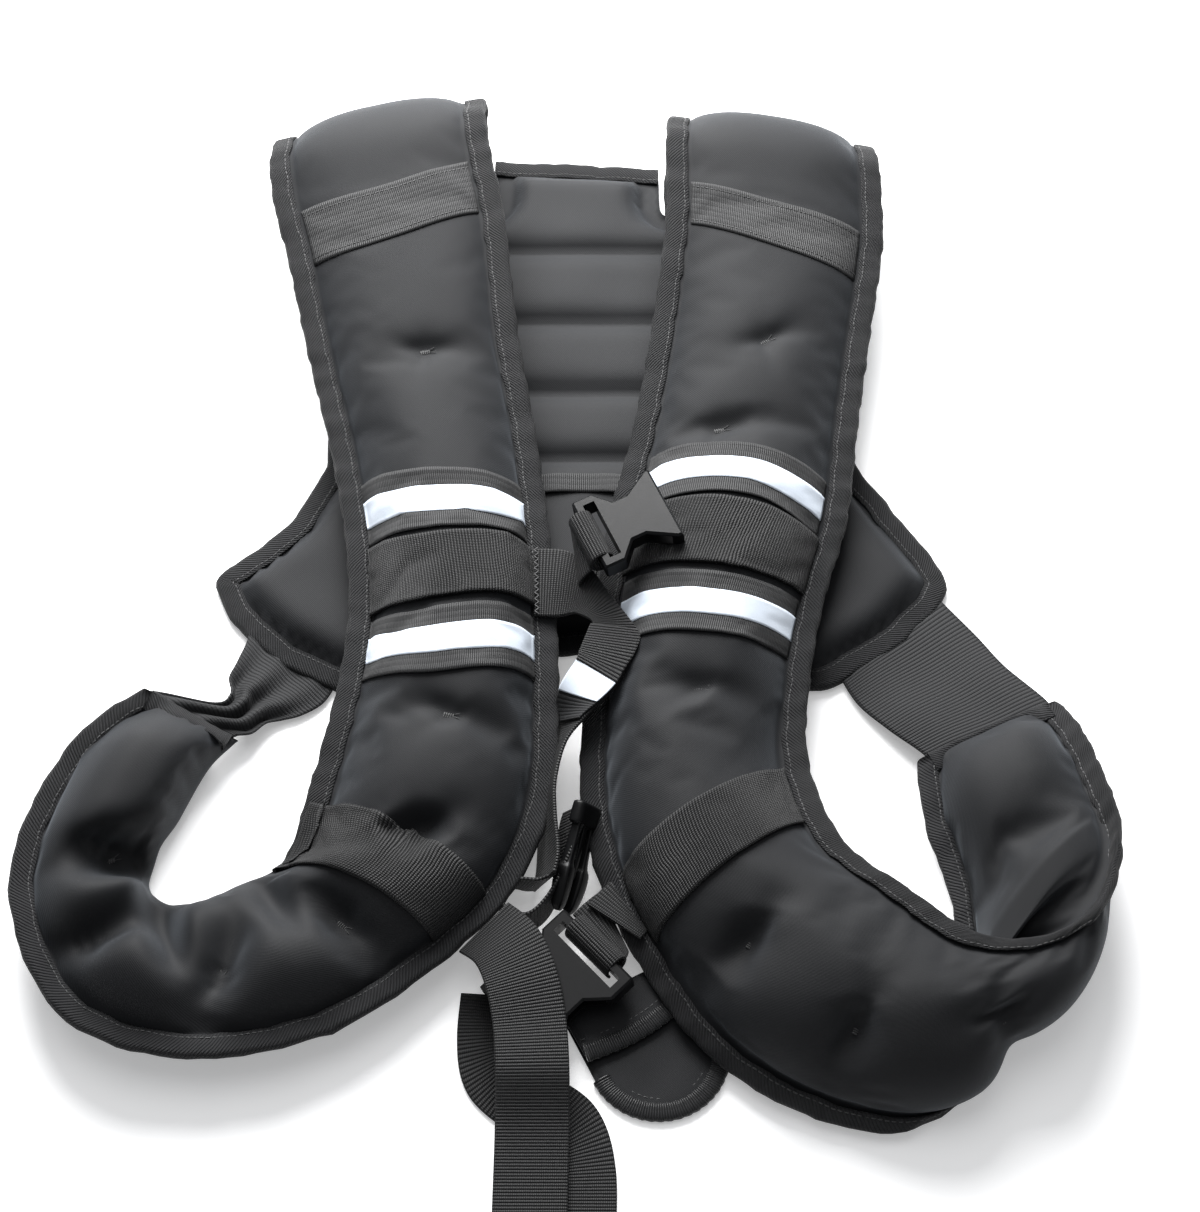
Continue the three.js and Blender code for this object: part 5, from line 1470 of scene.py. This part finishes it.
class VEST_OT_straps(bpy.types.Operator):
    """Loose chest and waist straps with their loops"""

    bl_idname = "vest.straps"
    bl_label = "Straps"

    def execute(self, context):
        size = sizes()
        thick = size.webbing_thickness
        self.chest(size, thick)
        waist = beside_outer(LEFT, WAIST_STATION["left"])
        strap("waist_strap_webbing", WAIST_STRAP, waist, size.strap_width, thick, "waist_strap")
        strap("waist_tail_webbing", WAIST_TAIL, waist, size.strap_width, thick, "waist_strap_tail")
        tie = beside_outer(RIGHT, WAIST_STATION["right"])
        strap("waist_loop_webbing", WAIST_LOOP, tie, size.strap_width, thick, "waist_buckle_loop", 30)
        self.second_loop(tie, size, thick)
        return {"FINISHED"}

    def chest(self, size, thick):
        """The chest strap with its free end sewn back on itself, the elastic keeper with its reflective
        stripe, and the tie of the female half."""
        wide = size.strap_width
        between(
            "chest_strap_webbing", CHEST_STRAP_EDGES, "webbing", "chest_strap", thick, wide,
            folds=lambda s, v: 1.2 * np.sin(9 * s + 4 * v) * np.sin(math.pi * np.clip(s * 3, 0, 1)),
        )
        between(
            "chest_strap_end", CHEST_STRAP_EDGES, "webbing", None, thick, wide,
            part=STRAP_END_SHARES, shift=thick + 0.8, count=40,
        )
        between(
            "keeper_elastic", CHEST_STRAP_EDGES, "elastic", "strap_keeper", 1.3, wide,
            part=KEEPER_SHARES, shift=thick + 0.5, count=40,
        )
        line = np.linspace((-36.5, 16, 36.3), (-35.5, -27, 36.3), 22)
        zigzag = np.stack([np.ones(22), 0.9 * (-1.0) ** np.arange(22), np.zeros(22)], -1)
        stitches("chest_bar_tack", line, zigzag, np.tile([0.0, 0.0, 1.0], (22, 1)), 3.4, 0.9)
        between(
            "keeper_film", CHEST_STRAP_EDGES, "reflective", None, 0.25, wide,
            part=FILM_SHARES, shift=thick + 2.1, count=24,
        )
        between("chest_strap_flap", STRAP_FLAP_EDGES, "webbing", None, thick, wide, count=40)
        between("chest_strap_turn", STRAP_TURN_EDGES, "webbing", None, thick, wide, count=60)
        loop = beside_outer(RIGHT, CHEST_STATION["right"])
        strap("chest_loop_webbing", CHEST_LOOP, loop, wide, thick, "chest_buckle_loop", 40)
        self.bar_loop(
            "chest_bar_loop", "chest_female_buckle", loop + np.array(CHEST_FEMALE_OFFSET), (0.9, 0.4, 0.12),
            (-0.4, 0.9, 0.0), 6,
        )

    def bar_loop(self, name, node, origin, axis, width, less):
        """Webbing round the female half's bar: from the tie, up over the bar and down into the slot."""
        axis, width = unit(np.array(axis)), unit(np.array(width))
        out = np.cross(axis, width)
        path = curve_through(BAR_LOOP_PATH, np.linspace(0, len(BAR_LOOP_PATH) - 1, 50))
        centre = origin + axis * path[:, :1] + out * path[:, 1:]
        ahead = np.gradient(centre, axis=0)
        frames = np.repeat(width[None], len(centre), 0)
        wide = sizes().strap_width - less
        profile = flat_profile(wide, sizes().webbing_thickness)
        piece = carried(name, centre, frames, unit(np.cross(ahead, frames)), profile, "webbing")

    def second_loop(self, tie, size, thick):
        """A second, shorter ply of the waist buckle's tie, beside the first."""
        rows = np.array(WAIST_LOOP) + (0.013, 0.014, 0.04, 12)
        strap("waist_loop_ply", rows, tie, size.strap_width, thick, None, 30, 0.9)
        origin = np.append(tie[:2] + WAIST_FEMALE_OFFSET, 0.62 * PAD_DEPTH)
        self.bar_loop(
            "waist_bar_loop", "waist_female_buckle", origin, (-0.72, -0.66, -0.16), (0.68, -0.73, 0), 5
        )


class VEST_OT_elastics(bpy.types.Operator):
    """Wide elastics from the wings to the hooks, the left one gathered"""

    bl_idname = "vest.elastics"
    bl_label = "Elastics"

    def execute(self, context):
        width = sizes().elastic_width
        for panel, edges, held, folds in (
            (LEFT, LEFT_ELASTIC_EDGES, "folded", gathered_folds),
            (RIGHT, RIGHT_ELASTIC_EDGES, "stretched", slack_folds),
        ):
            node = f"{panel.side}_elastic"
            between(f"{node}_band", self.to_hook(panel, edges), "elastic", node, 1.2, width, folds)
        return {"FINISHED"}

    def to_hook(self, panel, edges):
        """The edge lines with their last points at the hook's end and inside it, between its bindings."""
        end = panel.sections(np.array([float(panel.last)]))
        ahead = unit(panel.middle(np.array([panel.last])) - panel.middle(np.array([panel.last - 0.1])))[0]
        width = end.width[0]
        reach = np.array([0.05, 0.95]) * width
        ends = end.armhole + end.across * reach[:, None]
        if panel.flip > 0:
            ends = ends[::-1]
        return [[*edge[:-1], p + ahead * 1.5, p - ahead * 9] for edge, p in zip(edges, ends)]


class VEST_OT_rest_pad(bpy.types.Operator):
    """Pad under the waist buckle, its flap, and their overlocked rims"""

    bl_idname = "vest.rest_pad"
    bl_label = "Buckle pad"

    def execute(self, context):
        self.tie = beside_outer(RIGHT, WAIST_STATION["right"])[:2] + REST_PAD_OFFSET
        turn = np.radians(np.linspace(-90, 90, 31))
        radius = REST_PAD_RADIUS
        arc = self.place(REST_PAD_LENGTH + radius * np.cos(turn), radius * np.sin(turn))
        ends = self.place(np.array([4.0, 4.0]), np.array([radius, -radius]))
        self.sheet("rest_pad", np.concatenate([arc, ends]), 0.5, "buckle_pad")
        self.rim("rest_rim", arc, 2.4, "pad_rim")
        share = np.linspace(0, 1, 25)
        along = REST_FLAP_LENGTH + RIM_REACH * (0.5 - share) + 5 * np.sin(math.pi * share)
        lip = self.place(along, radius * (2 * share - 1) * 0.98)
        self.sheet("rest_flap", np.concatenate([lip, ends]), 4.9, "pad_flap")
        self.rim("rest_flap_rim", lip, 6.8, "flap_rim")
        return {"FINISHED"}

    def place(self, along, beside):
        """Plan points at distances along and beside the pad's own axis."""
        a = math.radians(REST_PAD_TURN)
        x = self.tie[0] + along * math.cos(a) - beside * math.sin(a)
        y = self.tie[1] + along * math.sin(a) + beside * math.cos(a)
        return np.stack([x, y], -1)

    def sheet(self, name, outline, low, node):
        """Foam sheet over an outline, rounded down to its edge."""
        path = rounded_path(np.concatenate([outline, outline[:1]]), 3, 2)[:-1]
        if np.sum(path[:, 0] * np.roll(path[:, 1], -1) - path[:, 1] * np.roll(path[:, 0], -1)) < 0:
            path = path[::-1]

        def high(p):
            inside = np.clip(distance_to(path, p) / 9, 0, 1)
            uneven = 0.3 * np.sin(p[:, 0] / 5) * np.sin(p[:, 1] / 7)
            return low + 1.0 + 2.4 * np.sqrt(inside * (2 - inside)) + uneven

        plan_solid(name, path, 3.2, lambda p: np.full(len(p), low), high, "neoprene", node)

    def rim(self, name, line, height, node):
        """Close threads wound over the edge: a flattened oval carried along it, its surface in small waves,
        with a running stitch inside it."""
        path = rounded_path(line, 1.6, 2)
        ahead = unit(np.gradient(path, axis=0))
        inward = np.stack([-ahead[:, 1], ahead[:, 0], np.zeros(len(path))], -1)
        middle = self.place(np.array([REST_PAD_LENGTH * 0.3]), np.array([0.0]))[0]
        if np.sum(inward[:, :2] * (middle - path)) < 0:
            inward = -inward
        centre = np.concatenate([path, np.full((len(path), 1), height)], 1) + inward * 3.4
        up = np.tile([0.0, 0.0, 1.0], (len(path), 1))
        turn = np.linspace(0, 2 * math.pi, 20, endpoint=False)
        oval = np.stack([5.2 * np.cos(turn), 2.4 * np.sign(np.sin(turn)) * np.abs(np.sin(turn)) ** 0.8], -1)
        swell = 1 + 0.05 * np.sin(np.arange(len(path)) * 2.1)[:, None, None]
        carried(name, centre, inward, up, oval * swell, "satin", node=node)
        seam(f"{name}_stitches", [(centre + inward * 6.8 + up * 1.2, up)], 3.4, 2.4, STITCH_WIDTH)


class VEST_OT_buckles(bpy.types.Operator):
    """Side-release buckles"""

    bl_idname = "vest.buckles"
    bl_label = "Buckles"

    def execute(self, context):
        for name in ("chest_female_buckle", "waist_female_buckle", "waist_male_buckle"):
            node = frame["nodes"][name]
            node.data.materials.clear()
            node.data.materials.append(MATERIALS["plastic"]())
        self.chest_male()
        return {"FINISHED"}

    def chest_male(self):
        """The male half on its edge: a base block round the strap's end, two sprung arms that widen into
        pointed pads, and a guide stem between them, all along one slightly tilted line."""
        start, stop = (np.array(p, float) for p in CHEST_MALE_LINE)
        axis = unit(stop - start)
        wide = unit(np.array(CHEST_MALE_WIDTH) - axis * np.dot(CHEST_MALE_WIDTH, axis))
        out = np.cross(axis, wide)
        turn = np.linspace(0, 2 * math.pi, 24, endpoint=False)
        square = 1 / np.maximum(np.abs(np.cos(turn)), np.abs(np.sin(turn))) ** 0.72
        ring = np.stack([np.cos(turn) * square, np.sin(turn) * square], -1)
        length = np.linalg.norm(stop - start)
        other = np.array(MALE_ARM) * (1, -1, 1, 1)
        shapes = {
            "male_base": MALE_BASE,
            "male_arm_left": MALE_ARM,
            "male_arm_right": other,
            "male_stem": MALE_STEM,
        }
        for name, rows in shapes.items():
            row = curve_through(rows, np.linspace(0, len(rows) - 1, 12 * len(rows)))
            centre = start + axis * (row[:, :1] * length) + wide * row[:, 1:2]
            profile = ring[None] * row[:, None, 2:4]
            frames = (np.repeat(v[None], len(row), 0) for v in (wide, out))
            node = "chest_male_buckle" if name == "male_base" else None
            carried(f"chest_{name}", centre, *frames, profile, "plastic", node=node)


class VEST_OT_stage(bpy.types.Operator):
    """Pale floor, soft studio light and the camera"""

    bl_idname = "vest.stage"
    bl_label = "Stage"

    def execute(self, context):
        bpy.ops.mesh.primitive_plane_add(size=12, location=(0, 0, 0))
        floor = context.object
        floor.name = "floor"
        finish = Finish("floor")
        finish.set(Base_Color=(0.92, 0.92, 0.925, 1), Roughness=0.8, Specular_IOR_Level=0.2)
        finish.set(Emission_Color=(1, 1, 1, 1), Emission_Strength=0.3)
        floor.data.materials.append(finish.material)
        world = bpy.data.worlds.new("studio")
        world.use_nodes = True
        sky = world.node_tree.nodes["Background"]
        sky.inputs["Color"].default_value = (0.95, 0.97, 1.0, 1)
        sky.inputs["Strength"].default_value = 0.26
        context.scene.world = world
        context.scene.view_settings.view_transform = "Standard"
        for lamp in LAMPS:
            self.light(*lamp)
        self.camera(context)
        return {"FINISHED"}

    def light(self, name, place, size, power):
        lamp = bpy.data.lights.new(name, "AREA")
        lamp.shape = "DISK"
        lamp.size = size
        lamp.energy = power
        light = bpy.data.objects.new(name, lamp)
        light.location = place
        light.rotation_euler = (-Vector(place)).to_track_quat("-Z", "Y").to_euler()
        bpy.context.scene.collection.objects.link(light)

    def camera(self, context):
        """The camera looks at the tables' origin from the front, from above."""
        elevation = math.radians(CAMERA_ELEVATION)
        target = Vector((ORIGIN * MM).tolist())
        data = bpy.data.cameras.new("camera")
        data.lens = CAMERA_LENS
        data.sensor_width = 36
        data.sensor_fit = "AUTO"
        camera = bpy.data.objects.new("camera", data)
        away = Vector((0, -math.cos(elevation), math.sin(elevation)))
        camera.location = target + away * CAMERA_DISTANCE
        camera.rotation_euler = (math.pi / 2 - elevation, 0, 0)
        context.scene.collection.objects.link(camera)
        context.scene.camera = camera


class VEST_PT_panel(bpy.types.Panel):
    """Buttons for each group of pieces"""

    bl_label = "Weighted Vest"
    bl_idname = "VEST_PT_panel"
    bl_space_type = "VIEW_3D"
    bl_region_type = "UI"
    bl_category = "Vest"

    def draw(self, context):
        for group in (context.scene.vest_sizes, context.scene.vest_colours):
            for key in type(group).__annotations__:
                self.layout.prop(group, key)
        for operator in OPERATORS:
            self.layout.operator(operator.bl_idname)


OPERATORS = (
    VEST_OT_filled_panels,
    VEST_OT_bindings,
    VEST_OT_ribbons,
    VEST_OT_back_panel,
    VEST_OT_straps,
    VEST_OT_elastics,
    VEST_OT_rest_pad,
    VEST_OT_buckles,
    VEST_OT_stage,
)
CLASSES = (VestSizes, VestColours, *OPERATORS, VEST_PT_panel)


def register():
    for cls in CLASSES:
        bpy.utils.register_class(cls)
    bpy.types.Scene.vest_sizes = PointerProperty(type=VestSizes)
    bpy.types.Scene.vest_colours = PointerProperty(type=VestColours)


def unregister():
    del bpy.types.Scene.vest_colours
    del bpy.types.Scene.vest_sizes
    for cls in reversed(CLASSES):
        bpy.utils.unregister_class(cls)


def main():
    """Builds the vest and its stage in order."""
    register()
    for operator in OPERATORS:
        group, name = operator.bl_idname.split(".")
        getattr(getattr(bpy.ops, group), name)()


if __name__ == "__main__":
    main()
